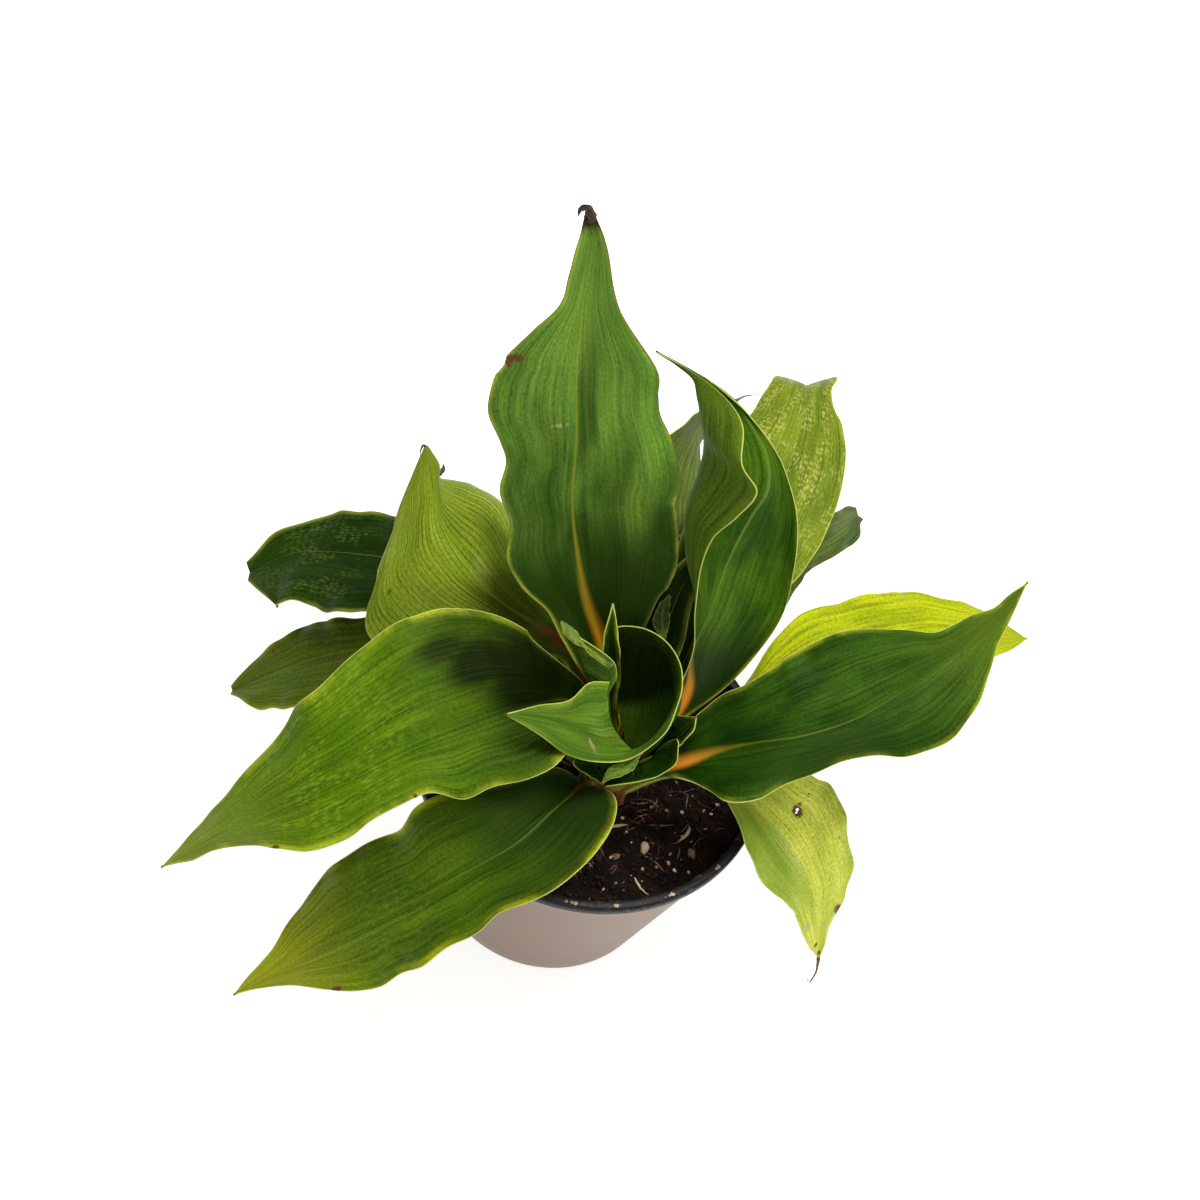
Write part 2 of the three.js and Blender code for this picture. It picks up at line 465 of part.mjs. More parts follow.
function potGeometry() {
  const inside = (z) => outerWallAt(z) - WALL;
  const lipFoot = POT_HEIGHT - LIP_DEPTH;
  const profile = [
    [0, 0], [BASE_RADIUS - EDGE_ROUND, 0], [outerWallAt(EDGE_ROUND), EDGE_ROUND],
    [outerWallAt(lipFoot), lipFoot], [LIP_RADIUS, lipFoot + EDGE_ROUND],
    [LIP_RADIUS, POT_HEIGHT - EDGE_ROUND], [LIP_RADIUS - EDGE_ROUND, POT_HEIGHT],
    [inside(POT_HEIGHT), POT_HEIGHT], [inside(FLOOR), FLOOR], [0, FLOOR],
  ];
  let pot = toSolid(turned(profile, POT_SIDES));
  for (let i = 0; i < DRAIN_COUNT; i += 1) {
    const angle = (2 * Math.PI * i) / DRAIN_COUNT;
    const drain = new THREE.CylinderGeometry(DRAIN_RADIUS, DRAIN_RADIUS, 4 * FLOOR, DRAIN_SIDES);
    drain.rotateX(Math.PI / 2);
    drain.translate(DRAIN_CIRCLE * Math.cos(angle), DRAIN_CIRCLE * Math.sin(angle), 0);
    pot = pot.subtract(toSolid(drain));
  }
  return fromSolid(pot);
}

// The crown stands off-centre on the +Z axis of its own frame, so it is turned there and moved.
function crownSolid(clearance) {
  const r = CROWN_RADIUS + clearance;
  const foot = CROWN_FOOT - clearance;
  const profile = [
    [0, foot], [r * 0.6, foot], [r, foot + CROWN_TAPER],
    [r, CROWN_TOP - CROWN_SHOULDER], [r * 0.8, CROWN_TOP], [0, CROWN_TOP],
  ];
  const geometry = turned(profile, CROWN_SIDES);
  geometry.translate(CROWN.x, CROWN.y, 0);
  return toSolid(geometry);
}

function soilGeometry() {
  const edge = outerWallAt(SOIL_LEVEL) - WALL - CLEARANCE;
  const foot = FLOOR + CLEARANCE;
  const profile = [[0, foot], [outerWallAt(foot) - WALL - CLEARANCE, foot], [edge, SOIL_LEVEL]];
  for (const share of SOIL_RINGS) {
    profile.push([edge * share, SOIL_LEVEL]);
  }
  const geometry = turned(profile, SOIL_SIDES);
  const position = geometry.attributes.position;
  for (let i = 0; i < position.count; i += 1) {
    const x = position.getX(i);
    const y = position.getY(i);
    const inward = 1 - Math.hypot(x, y) / edge;
    if (position.getZ(i) > SOIL_LEVEL - 1 && inward > 0.05) {
      const lumps = Math.sin(0.31 * x + 1) * Math.cos(0.27 * y) + Math.sin(0.19 * (x + 2 * y));
      position.setZ(i, SOIL_LEVEL + SOIL_HEAP * inward + SOIL_ROUGHNESS * lumps);
    }
  }
  return fromSolid(toSolid(geometry).subtract(crownSolid(CLEARANCE)));
}

// The crown has a plain socket for each leaf stalk, as wide as the stalk and its clearance.
function crownGeometry() {
  let crown = crownSolid(0);
  for (const leaf of ALL_LEAVES) {
    crown = crown.subtract(stalkSocket(leaf));
  }
  return fromSolid(crown);
}

function stalkSocket(leaf) {
  const midrib = leaf.midrib ?? leaf.stations.map((station) => station[2]);
  const [seat, next] = midrib.map((p) => new THREE.Vector3(...p));
  const direction = next.clone().sub(seat).normalize();
  const size = 2 * (STALK_WIDTH + STALK_HALF + 2 * CLEARANCE);
  const depth = 4 * CROWN_RADIUS;
  const socket = new THREE.CylinderGeometry(size / 2, size / 2, depth, 12);
  const axis = new THREE.Vector3(0, 1, 0);
  socket.applyQuaternion(new THREE.Quaternion().setFromUnitVectors(axis, direction));
  const middle = seat.addScaledVector(direction, depth / 2 - CLEARANCE);
  socket.translate(middle.x, middle.y, middle.z);
  return toSolid(socket);
}

const group = new THREE.Group();

function addMesh(name, geometry, look) {
  const material = new THREE.MeshStandardMaterial({ ...MATERIALS[look], metalness: 0 });
  const mesh = new THREE.Mesh(geometry, material);
  mesh.name = name;
  group.add(mesh);
}

addMesh('pot', potGeometry(), 'pot');
addMesh('soil', soilGeometry(), 'soil');
addMesh('crown', crownGeometry(), 'crown');
for (const leaf of ALL_LEAVES) {
  addMesh(leaf.name, leafGeometry(leaf), leaf.look);
}

export default group;
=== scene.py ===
import math
import random

import bmesh
import bpy
import numpy as np
from mathutils import Matrix, Vector, noise


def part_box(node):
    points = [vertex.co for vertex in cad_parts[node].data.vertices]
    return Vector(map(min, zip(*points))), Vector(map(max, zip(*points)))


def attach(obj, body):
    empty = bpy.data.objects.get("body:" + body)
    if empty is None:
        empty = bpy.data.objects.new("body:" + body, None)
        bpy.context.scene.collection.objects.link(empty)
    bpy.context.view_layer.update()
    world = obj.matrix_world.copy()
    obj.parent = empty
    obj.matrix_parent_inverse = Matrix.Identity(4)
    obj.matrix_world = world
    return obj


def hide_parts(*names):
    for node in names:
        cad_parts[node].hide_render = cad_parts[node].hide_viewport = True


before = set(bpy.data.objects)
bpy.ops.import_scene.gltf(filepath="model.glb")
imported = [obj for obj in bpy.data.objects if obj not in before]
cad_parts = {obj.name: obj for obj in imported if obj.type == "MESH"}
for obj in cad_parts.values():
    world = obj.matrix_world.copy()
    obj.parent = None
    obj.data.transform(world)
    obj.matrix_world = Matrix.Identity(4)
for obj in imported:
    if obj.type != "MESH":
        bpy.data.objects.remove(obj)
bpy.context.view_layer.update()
MM = 0.001


# ------------------------------------------------------------------- Camera
# The plant is looked down on, as by someone standing at the table, with the
# head a little tilted. Everything else in the file is in metres, +Z up.
CAMERA_PLACE = (-0.0130, -0.2836, 0.5440)
CAMERA_DOWN = 53
CAMERA_ROLL = 19

camera_data = bpy.data.cameras.new("camera")
camera_data.lens = 48
camera_data.sensor_width = 36
camera = bpy.data.objects.new("camera", camera_data)
bpy.context.scene.collection.objects.link(camera)
tilt = Matrix.Rotation(math.radians(90 - CAMERA_DOWN), 4, "X")
roll = Matrix.Rotation(math.radians(CAMERA_ROLL), 4, "Z")
camera.matrix_world = Matrix.Translation(CAMERA_PLACE) @ tilt @ roll
bpy.context.scene.camera = camera


# ---------------------------------------------------------- Table and light
# A wide matt white table under one broad soft lamp overhead, with two weaker
# ones in front and at the side, so that shadows stay under the leaves.
TABLE_REACH = 4.0
TABLE_WHITE = (0.86, 0.86, 0.85, 1)
TABLE_GLOW = 0.78
ROOM_GLOW = 0.30


def add_node(tree, kind, inputs=None, out=0, **settings):
    """Adds one shader node and returns its output. Each input is a value or another node's output."""
    node = tree.nodes.new("ShaderNode" + kind)
    for name, value in settings.items():
        setattr(node, name, value)
    for place, value in (inputs or {}).items():
        if isinstance(value, bpy.types.NodeSocket):
            tree.links.new(value, node.inputs[place])
        else:
            node.inputs[place].default_value = value
    return node.outputs[out]


def plain_material(name, colour, roughness, specular=0.5):
    """A material with its Principled shader, ready for its own nodes."""
    material = bpy.data.materials.new(name)
    material.use_nodes = True
    shader = material.node_tree.nodes["Principled BSDF"]
    shader.inputs["Base Color"].default_value = colour
    shader.inputs["Roughness"].default_value = roughness
    shader.inputs["Specular IOR Level"].default_value = specular
    return material, material.node_tree, shader


def add_relief(tree, shader, height, strength, distance):
    """Gives a material relief from a height value over a distance in metres."""
    bump = add_node(tree, "Bump", {"Height": height, "Strength": strength, "Distance": distance})
    tree.links.new(bump, shader.inputs["Normal"])


def add_piece(name, vertices, faces, material, smooth=True):
    """A mesh object in the row frame, from vertices in metres."""
    mesh = bpy.data.meshes.new(name)
    mesh.from_pydata([tuple(v) for v in vertices], [], [tuple(f) for f in faces])
    mesh.materials.append(material)
    mesh.polygons.foreach_set("use_smooth", [smooth] * len(mesh.polygons))
    piece = bpy.data.objects.new(name, mesh)
    bpy.context.scene.collection.objects.link(piece)
    return piece


table_material, table_tree, table_shader = plain_material("white table", TABLE_WHITE, 0.9)
table_grain = add_node(table_tree, "TexNoise", {"Scale": 900.0, "Detail": 2.0})
add_relief(table_tree, table_shader, table_grain, 0.02, 0.0003)
table_shader.inputs["Emission Color"].default_value = TABLE_WHITE
table_shader.inputs["Emission Strength"].default_value = TABLE_GLOW
corners = [(-TABLE_REACH, -TABLE_REACH, 0), (TABLE_REACH, -TABLE_REACH, 0),
           (TABLE_REACH, TABLE_REACH, 0), (-TABLE_REACH, TABLE_REACH, 0)]
table = add_piece("table", corners, [(0, 1, 2, 3)], table_material)

for lamp_name, place, aim_height, width, watts in (
        ("overhead lamp", (0.15, 0.30, 1.25), 0.10, 0.75, 15), ("front lamp", (0.3, -1.2, 0.9), 0.10, 0.6, 4),
        ("side lamp", (0.75, -0.25, 0.20), 0.05, 0.3, 0.8)):
    lamp_data = bpy.data.lights.new(lamp_name, "AREA")
    lamp_data.size = width
    lamp_data.energy = watts
    lamp = bpy.data.objects.new(lamp_name, lamp_data)
    lamp.location = place
    lamp.rotation_euler = (Vector((0, 0, aim_height)) - Vector(place)).to_track_quat("-Z", "Y").to_euler()
    bpy.context.scene.collection.objects.link(lamp)

room = bpy.data.worlds.new("room")
room.use_nodes = True
room.node_tree.nodes["Background"].inputs["Color"].default_value = (1, 1, 1, 1)
room.node_tree.nodes["Background"].inputs["Strength"].default_value = ROOM_GLOW
bpy.context.scene.world = room
bpy.context.scene.view_settings.view_transform = "Standard"


# ---------------------------------------------------------------------- Pot
# A thin thermoformed nursery pot in two layers: a taupe skin outside and black
# plastic inside, which also shows as the flat lip. The floor has drain holes.
pot_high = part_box("pot")[1]
LIP_RADIUS = pot_high.x
POT_HEIGHT = pot_high.z
BASE_RADIUS = 0.042
WALL_TOP_RADIUS = 0.0584
LIP_DEPTH = 0.004
WALL = 0.0014
POT_FLOOR = 0.002
POT_SIDES = 160
SKIN_STEPS = 12
DRAIN_COUNT = 8
DRAIN_RADIUS = 0.004
DRAIN_CIRCLE = 0.030
DRAIN_SIDES = 32
SKIN_TAUPE = (0.158, 0.089, 0.055, 1)
SKIN_PALE = (0.210, 0.127, 0.084, 1)
SKIN_DIRT = (0.20, 0.13, 0.10, 1)
FOOT_SHADOW = (0.055, 0.026, 0.018, 1)
PLASTIC_BLACK = (0.007, 0.006, 0.0055, 1)
PLASTIC_DUST = (0.10, 0.085, 0.07, 1)


def circle_of(radius, z, count):
    """Evenly spaced points of a level circle round the Z axis."""
    turns = [math.tau * step / count for step in range(count)]
    return [(radius * math.cos(turn), radius * math.sin(turn), z) for turn in turns]


def band(here, there, count, flip=False):
    """Quads between two closed rings of points that start at these indices."""
    quads = [(here + k, there + k, there + (k + 1) % count, here + (k + 1) % count) for k in range(count)]
    return [(a, d, c, b) for a, b, c, d in quads] if flip else quads


def wall_radius(z):
    return BASE_RADIUS + (WALL_TOP_RADIUS - BASE_RADIUS) * z / (POT_HEIGHT - LIP_DEPTH)


def noise_of(tree, scale, detail, roughness=0.5):
    """Noise over the piece's own coordinates."""
    place = add_node(tree, "TexCoord", out=3)
    return add_node(tree, "TexNoise", {"Vector": place, "Scale": scale, "Detail": detail, "Roughness": roughness})


def ramp_of(tree, value, low, high, to_low=0.0, to_high=1.0, shape="LINEAR"):
    """The range of a value from low to high made over into another range, and held at its ends."""
    places = {0: value, 1: low, 2: high, 3: to_low, 4: to_high}
    return add_node(tree, "MapRange", places, interpolation_type=shape)


def mix_of(tree, factor, first, second, blend="MIX"):
    return add_node(tree, "Mix", {0: factor, 6: first, 7: second}, 2, data_type="RGBA", blend_type=blend)


lip_foot = POT_HEIGHT - LIP_DEPTH
foot_profile = [(0.0006, 0), (BASE_RADIUS - 0.0022, 0), (BASE_RADIUS - 0.0010, 0.0002),
                (BASE_RADIUS - 0.0002, 0.0009)]
skin_profile = foot_profile + [(wall_radius(z), z) for z in np.linspace(0.0020, lip_foot - 0.0006, SKIN_STEPS)]
pot_profile = skin_profile + [
    (WALL_TOP_RADIUS + 0.0004, lip_foot - 0.0001), (LIP_RADIUS - 0.0005, lip_foot + 0.0003),
    (LIP_RADIUS, lip_foot + 0.0009), (LIP_RADIUS, POT_HEIGHT - 0.0010), (LIP_RADIUS - 0.0003, POT_HEIGHT - 0.0003),
    (LIP_RADIUS - 0.0009, POT_HEIGHT), (WALL_TOP_RADIUS - 0.0012, POT_HEIGHT),
    (WALL_TOP_RADIUS - 0.0017, POT_HEIGHT - 0.0003), (WALL_TOP_RADIUS - 0.0019, POT_HEIGHT - 0.0010),
]
pot_profile += [(wall_radius(z) - WALL, z) for z in np.linspace(lip_foot, POT_FLOOR + 0.0012, 8)]
pot_profile += [(BASE_RADIUS - 0.0030, POT_FLOOR), (0.0006, POT_FLOOR)]
pot_vertices, pot_faces = [], []
for step in range(POT_SIDES):
    angle = math.tau * step / POT_SIDES
    pot_vertices += [(r * math.cos(angle), r * math.sin(angle), z) for r, z in pot_profile]
    pot_faces += band(step * len(pot_profile), (step + 1) % POT_SIDES * len(pot_profile), len(pot_profile))

pot_skin, skin_tree, skin_shader = plain_material("taupe pot skin", SKIN_TAUPE, 0.42)
skin_blotch = noise_of(skin_tree, 38.0, 5.0, 0.62)
skin_grit = noise_of(skin_tree, 260.0, 3.0)
skin_colour = mix_of(skin_tree, ramp_of(skin_tree, skin_blotch, 0.38, 0.62), SKIN_TAUPE, SKIN_PALE)
skin_colour = mix_of(skin_tree, ramp_of(skin_tree, skin_grit, 0.66, 0.74, 0.0, 0.35), skin_colour, SKIN_DIRT)
# Painted shadow: a thin dark brown band round the foot, where the pot stands on the table.
skin_height = add_node(skin_tree, "SeparateXYZ", {0: add_node(skin_tree, "TexCoord", out=3)}, 2)
skin_colour = mix_of(skin_tree, ramp_of(skin_tree, skin_height, 0.0016, 0.0004), skin_colour, FOOT_SHADOW)
skin_tree.links.new(skin_colour, skin_shader.inputs["Base Color"])
skin_tree.links.new(ramp_of(skin_tree, skin_blotch, 0.3, 0.7, 0.36, 0.50), skin_shader.inputs["Roughness"])
add_relief(skin_tree, skin_shader, skin_grit, 0.12, 0.0003)

pot_black, black_tree, black_shader = plain_material("black pot plastic", PLASTIC_BLACK, 0.5, 0.22)
black_dust = noise_of(black_tree, 330.0, 4.0, 0.7)
black_colour = mix_of(black_tree, ramp_of(black_tree, black_dust, 0.56, 0.72), PLASTIC_BLACK, PLASTIC_DUST)
black_tree.links.new(black_colour, black_shader.inputs["Base Color"])
black_tree.links.new(ramp_of(black_tree, black_dust, 0.4, 0.7, 0.38, 0.68), black_shader.inputs["Roughness"])
add_relief(black_tree, black_shader, black_dust, 0.15, 0.0003)

pot = add_piece("pot_shell", pot_vertices, pot_faces, pot_skin)
pot.data.materials.append(pot_black)
for face in pot.data.polygons:
    face.material_index = 0 if face.index % len(pot_profile) < len(skin_profile) else 1

drain_vertices, drain_faces = [], []
for x, y, _ in circle_of(DRAIN_CIRCLE, 0, DRAIN_COUNT):
    start = len(drain_vertices)
    for z in (-POT_FLOOR, 2 * POT_FLOOR):
        drain_vertices += [Vector((x, y, 0)) + Vector(point) for point in circle_of(DRAIN_RADIUS, z, DRAIN_SIDES)]
    drain_faces += band(start, start + DRAIN_SIDES, DRAIN_SIDES, flip=True)
    drain_faces += [tuple(start + k for k in reversed(range(DRAIN_SIDES))),
                    tuple(start + DRAIN_SIDES + k for k in range(DRAIN_SIDES))]
drains = add_piece("drain_cutter", drain_vertices, drain_faces, pot_black)
cut = pot.modifiers.new("drains", "BOOLEAN")
cut.object = drains
cut.solver = "EXACT"
bpy.context.view_layer.update()
holed = bpy.data.meshes.new_from_object(pot.evaluated_get(bpy.context.evaluated_depsgraph_get()))
pot.modifiers.clear()
pot.data = holed
bpy.data.objects.remove(drains)
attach(pot, "root")
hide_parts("pot")


# --------------------------------------------------------------------- Soil
# Dark damp peat, a little heaped round the plant, with crumbs of bark and clay,
# fine pale roots, a few straws and small white beads lying on it.
soil_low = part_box("soil")[0]
SOIL_EDGE_Z = 0.083
SOIL_HEAP = 0.0022
SOIL_LUMP = 0.0007
SOIL_GRAIN = 0.0007
SOIL_SINK = 0.0004
SOIL_GAP = 0.0003
SOIL_RINGS = 70
SOIL_SPOKES = 220
CRUMB_INSET = 0.0035
FIBRE_INSET = 0.005
FIBRE_EDGE = 0.0015
FIBRE_STEPS = 9
PEAT_DARK = (0.006, 0.0030, 0.0020, 1)
PEAT_BROWN = (0.030, 0.013, 0.007, 1)
PEAT_FLECK = (0.10, 0.045, 0.028, 1)
soil_radius = wall_radius(SOIL_EDGE_Z) - WALL - SOIL_GAP


def soil_height(x, y):
    """Top of the soil at a place in metres, with its heap, lumps and grains."""
    inward = max(1 - math.hypot(x, y) / soil_radius, 0)
    px, py = x / MM, y / MM
    lumps = math.sin(0.31 * px + 1) * math.cos(0.27 * py) + math.sin(0.19 * (px + 2 * py))
    settle = min(inward / 0.05, 1)
    coarse = noise.noise(Vector((px * 0.22, py * 0.22, 3)))
    grains = coarse * 0.9 + noise.noise(Vector((px * 0.7, py * 0.7, 9))) * 0.6
    return SOIL_EDGE_Z + SOIL_HEAP * inward + (SOIL_LUMP * lumps + SOIL_GRAIN * grains) * settle - SOIL_SINK


soil_vertices = [(0, 0, soil_height(0, 0))]
for ring in range(1, SOIL_RINGS + 1):
    circle = circle_of(soil_radius * (ring / SOIL_RINGS) ** 0.8, 0, SOIL_SPOKES)
    soil_vertices += [(x, y, soil_height(x, y)) for x, y, _ in circle]
foot_radius = wall_radius(soil_low.z) - WALL - SOIL_GAP
for r in (foot_radius, foot_radius * 0.5):
    soil_vertices += circle_of(r, soil_low.z, SOIL_SPOKES)
soil_faces = [(0, 1 + k, 1 + (k + 1) % SOIL_SPOKES) for k in range(SOIL_SPOKES)]
for ring in range(SOIL_RINGS + 1):
    soil_faces += band(1 + ring * SOIL_SPOKES, 1 + (ring + 1) * SOIL_SPOKES, SOIL_SPOKES)
last_ring = 1 + (SOIL_RINGS + 1) * SOIL_SPOKES
soil_faces.append(tuple(last_ring + k for k in reversed(range(SOIL_SPOKES))))

peat, peat_tree, peat_shader = plain_material("damp peat", PEAT_DARK, 0.9, 0.2)
peat_fine = noise_of(peat_tree, 700.0, 6.0, 0.7)
peat_tone = ramp_of(peat_tree, noise_of(peat_tree, 160.0, 4.0), 0.45, 0.72)
peat_fleck = ramp_of(peat_tree, peat_fine, 0.62, 0.78, 0.0, 0.8)
peat_colour = mix_of(peat_tree, peat_fleck, mix_of(peat_tree, peat_tone, PEAT_DARK, PEAT_BROWN), PEAT_FLECK)
peat_tree.links.new(peat_colour, peat_shader.inputs["Base Color"])
add_relief(peat_tree, peat_shader, peat_fine, 0.9, 0.0012)
soil = add_piece("soil_body", soil_vertices, soil_faces, peat)
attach(soil, "root")
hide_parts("soil")


def soil_spot(draw, inset):
    """A random place on the soil, evenly spread over its area."""
    r = (soil_radius - inset) * math.sqrt(draw.random())
    angle = draw.uniform(0, math.tau)
    return r * math.cos(angle), r * math.sin(angle)


def ball_pattern(rounds):
    """Corners and faces of a ball of triangles, which each crumb starts from."""
    ball = bmesh.new()
    bmesh.ops.create_icosphere(ball, subdivisions=rounds, radius=1)
    corners = [v.co.copy() for v in ball.verts]
    faces = [tuple(v.index for v in face.verts) for face in ball.faces]
    ball.free()
    return corners, faces


def scatter_crumbs(name, count, sizes, flatness, material, draw, rounds=1, places=None):
    """Irregular crumbs lying on the soil, joined in one piece."""
    corners, pattern = ball_pattern(rounds)
    vertices, faces = [], []
    for index in range(count):
        x, y = places[index] if places else soil_spot(draw, CRUMB_INSET)
        size = draw.uniform(*sizes)
        axis = Vector((draw.uniform(-1, 1), draw.uniform(-1, 1), draw.uniform(-1, 1)))
        spin = Matrix.Rotation(draw.uniform(0, math.tau), 3, axis)
        stretch = (draw.uniform(0.8, 1.5), draw.uniform(0.6, 1.0), flatness)
        middle = Vector((x, y, soil_height(x, y) + 0.3 * size))
        start = len(vertices)
        for corner in corners:
            rough = draw.uniform(0.72, 1.15) * size
            point = spin @ Vector(corner[k] * stretch[k] for k in range(3))
            vertices.append(middle + point * rough)
        faces += [tuple(start + k for k in face) for face in pattern]
    piece = add_piece(name, vertices, faces, material, smooth=False)
    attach(piece, "root")


def lay_fibres(name, count, lengths, widths, material, draw, rise=0.0008, places=None):
    """Thin bent fibres on the soil, each a tapered four-sided strip, joined in one piece."""
    vertices, faces = [], []
    for index in range(count):
        x, y, heading = places[index] if places else (*soil_spot(draw, FIBRE_INSET), draw.uniform(0, math.tau))
        length, width = draw.uniform(*lengths), draw.uniform(*widths)
        turn = draw.uniform(-1.6, 1.6)
        lift = draw.uniform(0, rise)
        start = len(vertices)
        for k in range(FIBRE_STEPS + 1):
            share = k / FIBRE_STEPS
            heading_here = heading + turn * (share - 0.5)
            direction = Vector((math.cos(heading_here), math.sin(heading_here), 0))
            if k:
                x, y = x + direction.x * length / FIBRE_STEPS, y + direction.y * length / FIBRE_STEPS
            reach = soil_radius - FIBRE_EDGE
            if math.hypot(x, y) > reach:
                x, y = x * reach / math.hypot(x, y), y * reach / math.hypot(x, y)
            across = Vector((-direction.y, direction.x, 0))
            half = width * max(math.sin(math.pi * (0.08 + 0.84 * share)), 0.15) / 2
            middle = Vector((x, y, soil_height(x, y) + half * 0.8 + lift * math.sin(math.pi * share)))
            up = Vector((0, 0, half * 0.7))
            vertices += [middle + across * half, middle + up, middle - across * half, middle - up]
        for k in range(FIBRE_STEPS):
            faces += band(start + 4 * k, start + 4 * (k + 1), 4)
        faces += [tuple(start + j for j in range(4)), tuple(start + 4 * FIBRE_STEPS + 3 - j for j in range(4))]
    piece = add_piece(name, vertices, faces, material)
    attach(piece, "root")


def crumb_material(name, dark, light):
    """Each crumb or fibre takes its own tone between two colours."""
    material, tree, shader = plain_material(name, dark, 0.85, 0.2)
    speckle = noise_of(tree, 900.0, 3.0)
    island = add_node(tree, "NewGeometry", out=8)
    tone = add_node(tree, "Math", {0: island, 1: speckle}, operation="MULTIPLY")
    tree.links.new(mix_of(tree, ramp_of(tree, tone, 0.02, 0.52), dark, light), shader.inputs["Base Color"])
    add_relief(tree, shader, speckle, 0.5, 0.0004)
    return material


bark_brown = crumb_material("bark crumbs", (0.003, 0.0015, 0.001, 1), (0.034, 0.013, 0.008, 1))
clay_tan = crumb_material("pale crumbs", (0.20, 0.11, 0.07, 1), (0.72, 0.52, 0.34, 1))
root_brown = crumb_material("dry roots", (0.045, 0.017, 0.012, 1), (0.38, 0.19, 0.13, 1))
straw_tan = crumb_material("straw", (0.50, 0.34, 0.17, 1), (0.86, 0.72, 0.46, 1))
bead_white = crumb_material("perlite", (0.62, 0.58, 0.52, 1), (0.85, 0.83, 0.78, 1))

crumb_draw = random.Random(11)
scatter_crumbs("soil_crumbs", 2600, (0.0003, 0.0011), 0.75, bark_brown, crumb_draw)
scatter_crumbs("soil_pale_crumbs", 170, (0.0003, 0.0009), 0.7, clay_tan, crumb_draw)
scatter_crumbs("soil_clay_lumps", 5, (0.0014, 0.0021), 0.7, clay_tan, crumb_draw, 2,
               [(0.0270, -0.0270), (0.0185, -0.0330), (0.0425, -0.0230), (-0.0060, -0.0440), (0.0010, -0.0540)])
scatter_crumbs("soil_beads", 26, (0.0003, 0.0008), 1.0, bead_white, crumb_draw, 2)
lay_fibres("soil_roots", 340, (0.003, 0.009), (0.00022, 0.0006), root_brown, crumb_draw)
lay_fibres("soil_straws", 4, (0.007, 0.013), (0.0010, 0.0016), straw_tan, crumb_draw, 0.0012,
           [(0.0020, -0.0435, 0.65), (0.0265, -0.0375, 5.6), (0.0080, -0.0250, 0.3), (0.0370, -0.0200, 1.2)])


# ------------------------------------------------------- Crumbs on the lip
# A few pale crumbs of clay have been spilt on the pot's flat lip when it was
# filled. They lie there loose, in small heaps.
LIP_MIDDLE = 0.0586
LIP_HEAP = 4

lip_draw = random.Random(5)
lip_spots = []
for angle, spread in ((-1.19, 0.05), (-0.86, 0.03), (-1.42, 0.03), (-0.52, 0.03), (2.1, 0.2)):
    for grain in range(LIP_HEAP):
        bearing = angle + lip_draw.uniform(-spread, spread)
        lip_spots.append((LIP_MIDDLE * math.cos(bearing), LIP_MIDDLE * math.sin(bearing)))
corners, pattern = ball_pattern(1)
lip_vertices, lip_faces = [], []
for x, y in lip_spots:
    size = lip_draw.uniform(0.0003, 0.0008)
    lip_faces += [tuple(len(lip_vertices) + k for k in face) for face in pattern]
    lip_vertices += [Vector((x, y, POT_HEIGHT + 0.3 * size)) + corner * size * lip_draw.uniform(0.6, 1.2)
                     for corner in corners]
lip_crumbs = add_piece("lip_crumbs", lip_vertices, lip_faces, clay_tan, smooth=False)
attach(lip_crumbs, "root")


# -------------------------------------------------------------------- Crown
# The short fleshy stem that all the leaves grow from, wrapped in the ridged
# orange to red-brown feet of the leaf stalks. It is rooted in the soil.
crown_low, crown_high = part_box("crown")
CROWN_MIDDLE = Vector((0.008, -0.010, 0))
CROWN_LOBES = 7
CROWN_RIDGE = 0.045
CROWN_SIDES = 72
CROWN_ORANGE = (0.33, 0.115, 0.018, 1)
CROWN_DARK = (0.045, 0.012, 0.006, 1)
crown_profile = [(0.0004, crown_low.z), (0.0054, crown_low.z), (0.0085, 0.066), (0.0086, 0.080), (0.0084, 0.090),
                 (0.0074, 0.097), (0.0054, crown_high.z - 0.0030), (0.0026, crown_high.z - 0.0008),
                 (0.0004, crown_high.z - 0.0004)]
rows = len(crown_profile)
crown_vertices, crown_faces = [], []
for step in range(CROWN_SIDES):
    angle = math.tau * step / CROWN_SIDES
    for r, z in crown_profile:
        ridge = 1 + CROWN_RIDGE * math.sin(CROWN_LOBES * angle + z * 60)
        crown_vertices.append(CROWN_MIDDLE + Vector((r * ridge * math.cos(angle), r * ridge * math.sin(angle), z)))
    crown_faces += band(step * rows, (step + 1) % CROWN_SIDES * rows, rows)[:-1]
crown_faces.append(tuple(step * rows for step in reversed(range(CROWN_SIDES))))
crown_faces.append(tuple(step * rows + rows - 1 for step in range(CROWN_SIDES)))

crown_flesh, flesh_tree, flesh_shader = plain_material("crown flesh", CROWN_ORANGE, 0.5)
flesh_place = add_node(flesh_tree, "TexCoord", out=3)
flesh_streaks = add_node(flesh_tree, "Mapping", {0: flesh_place, 3: (300.0, 300.0, 22.0)})
flesh_noise = add_node(flesh_tree, "TexNoise", {"Vector": flesh_streaks, "Scale": 1.0, "Detail": 4.0})
flesh_colour = mix_of(flesh_tree, ramp_of(flesh_tree, flesh_noise, 0.35, 0.65), CROWN_DARK, CROWN_ORANGE)
flesh_tree.links.new(flesh_colour, flesh_shader.inputs["Base Color"])
add_relief(flesh_tree, flesh_shader, flesh_noise, 0.4, 0.0005)
crown = add_piece("crown_body", crown_vertices, crown_faces, crown_flesh)
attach(crown, "root")
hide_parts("crown")


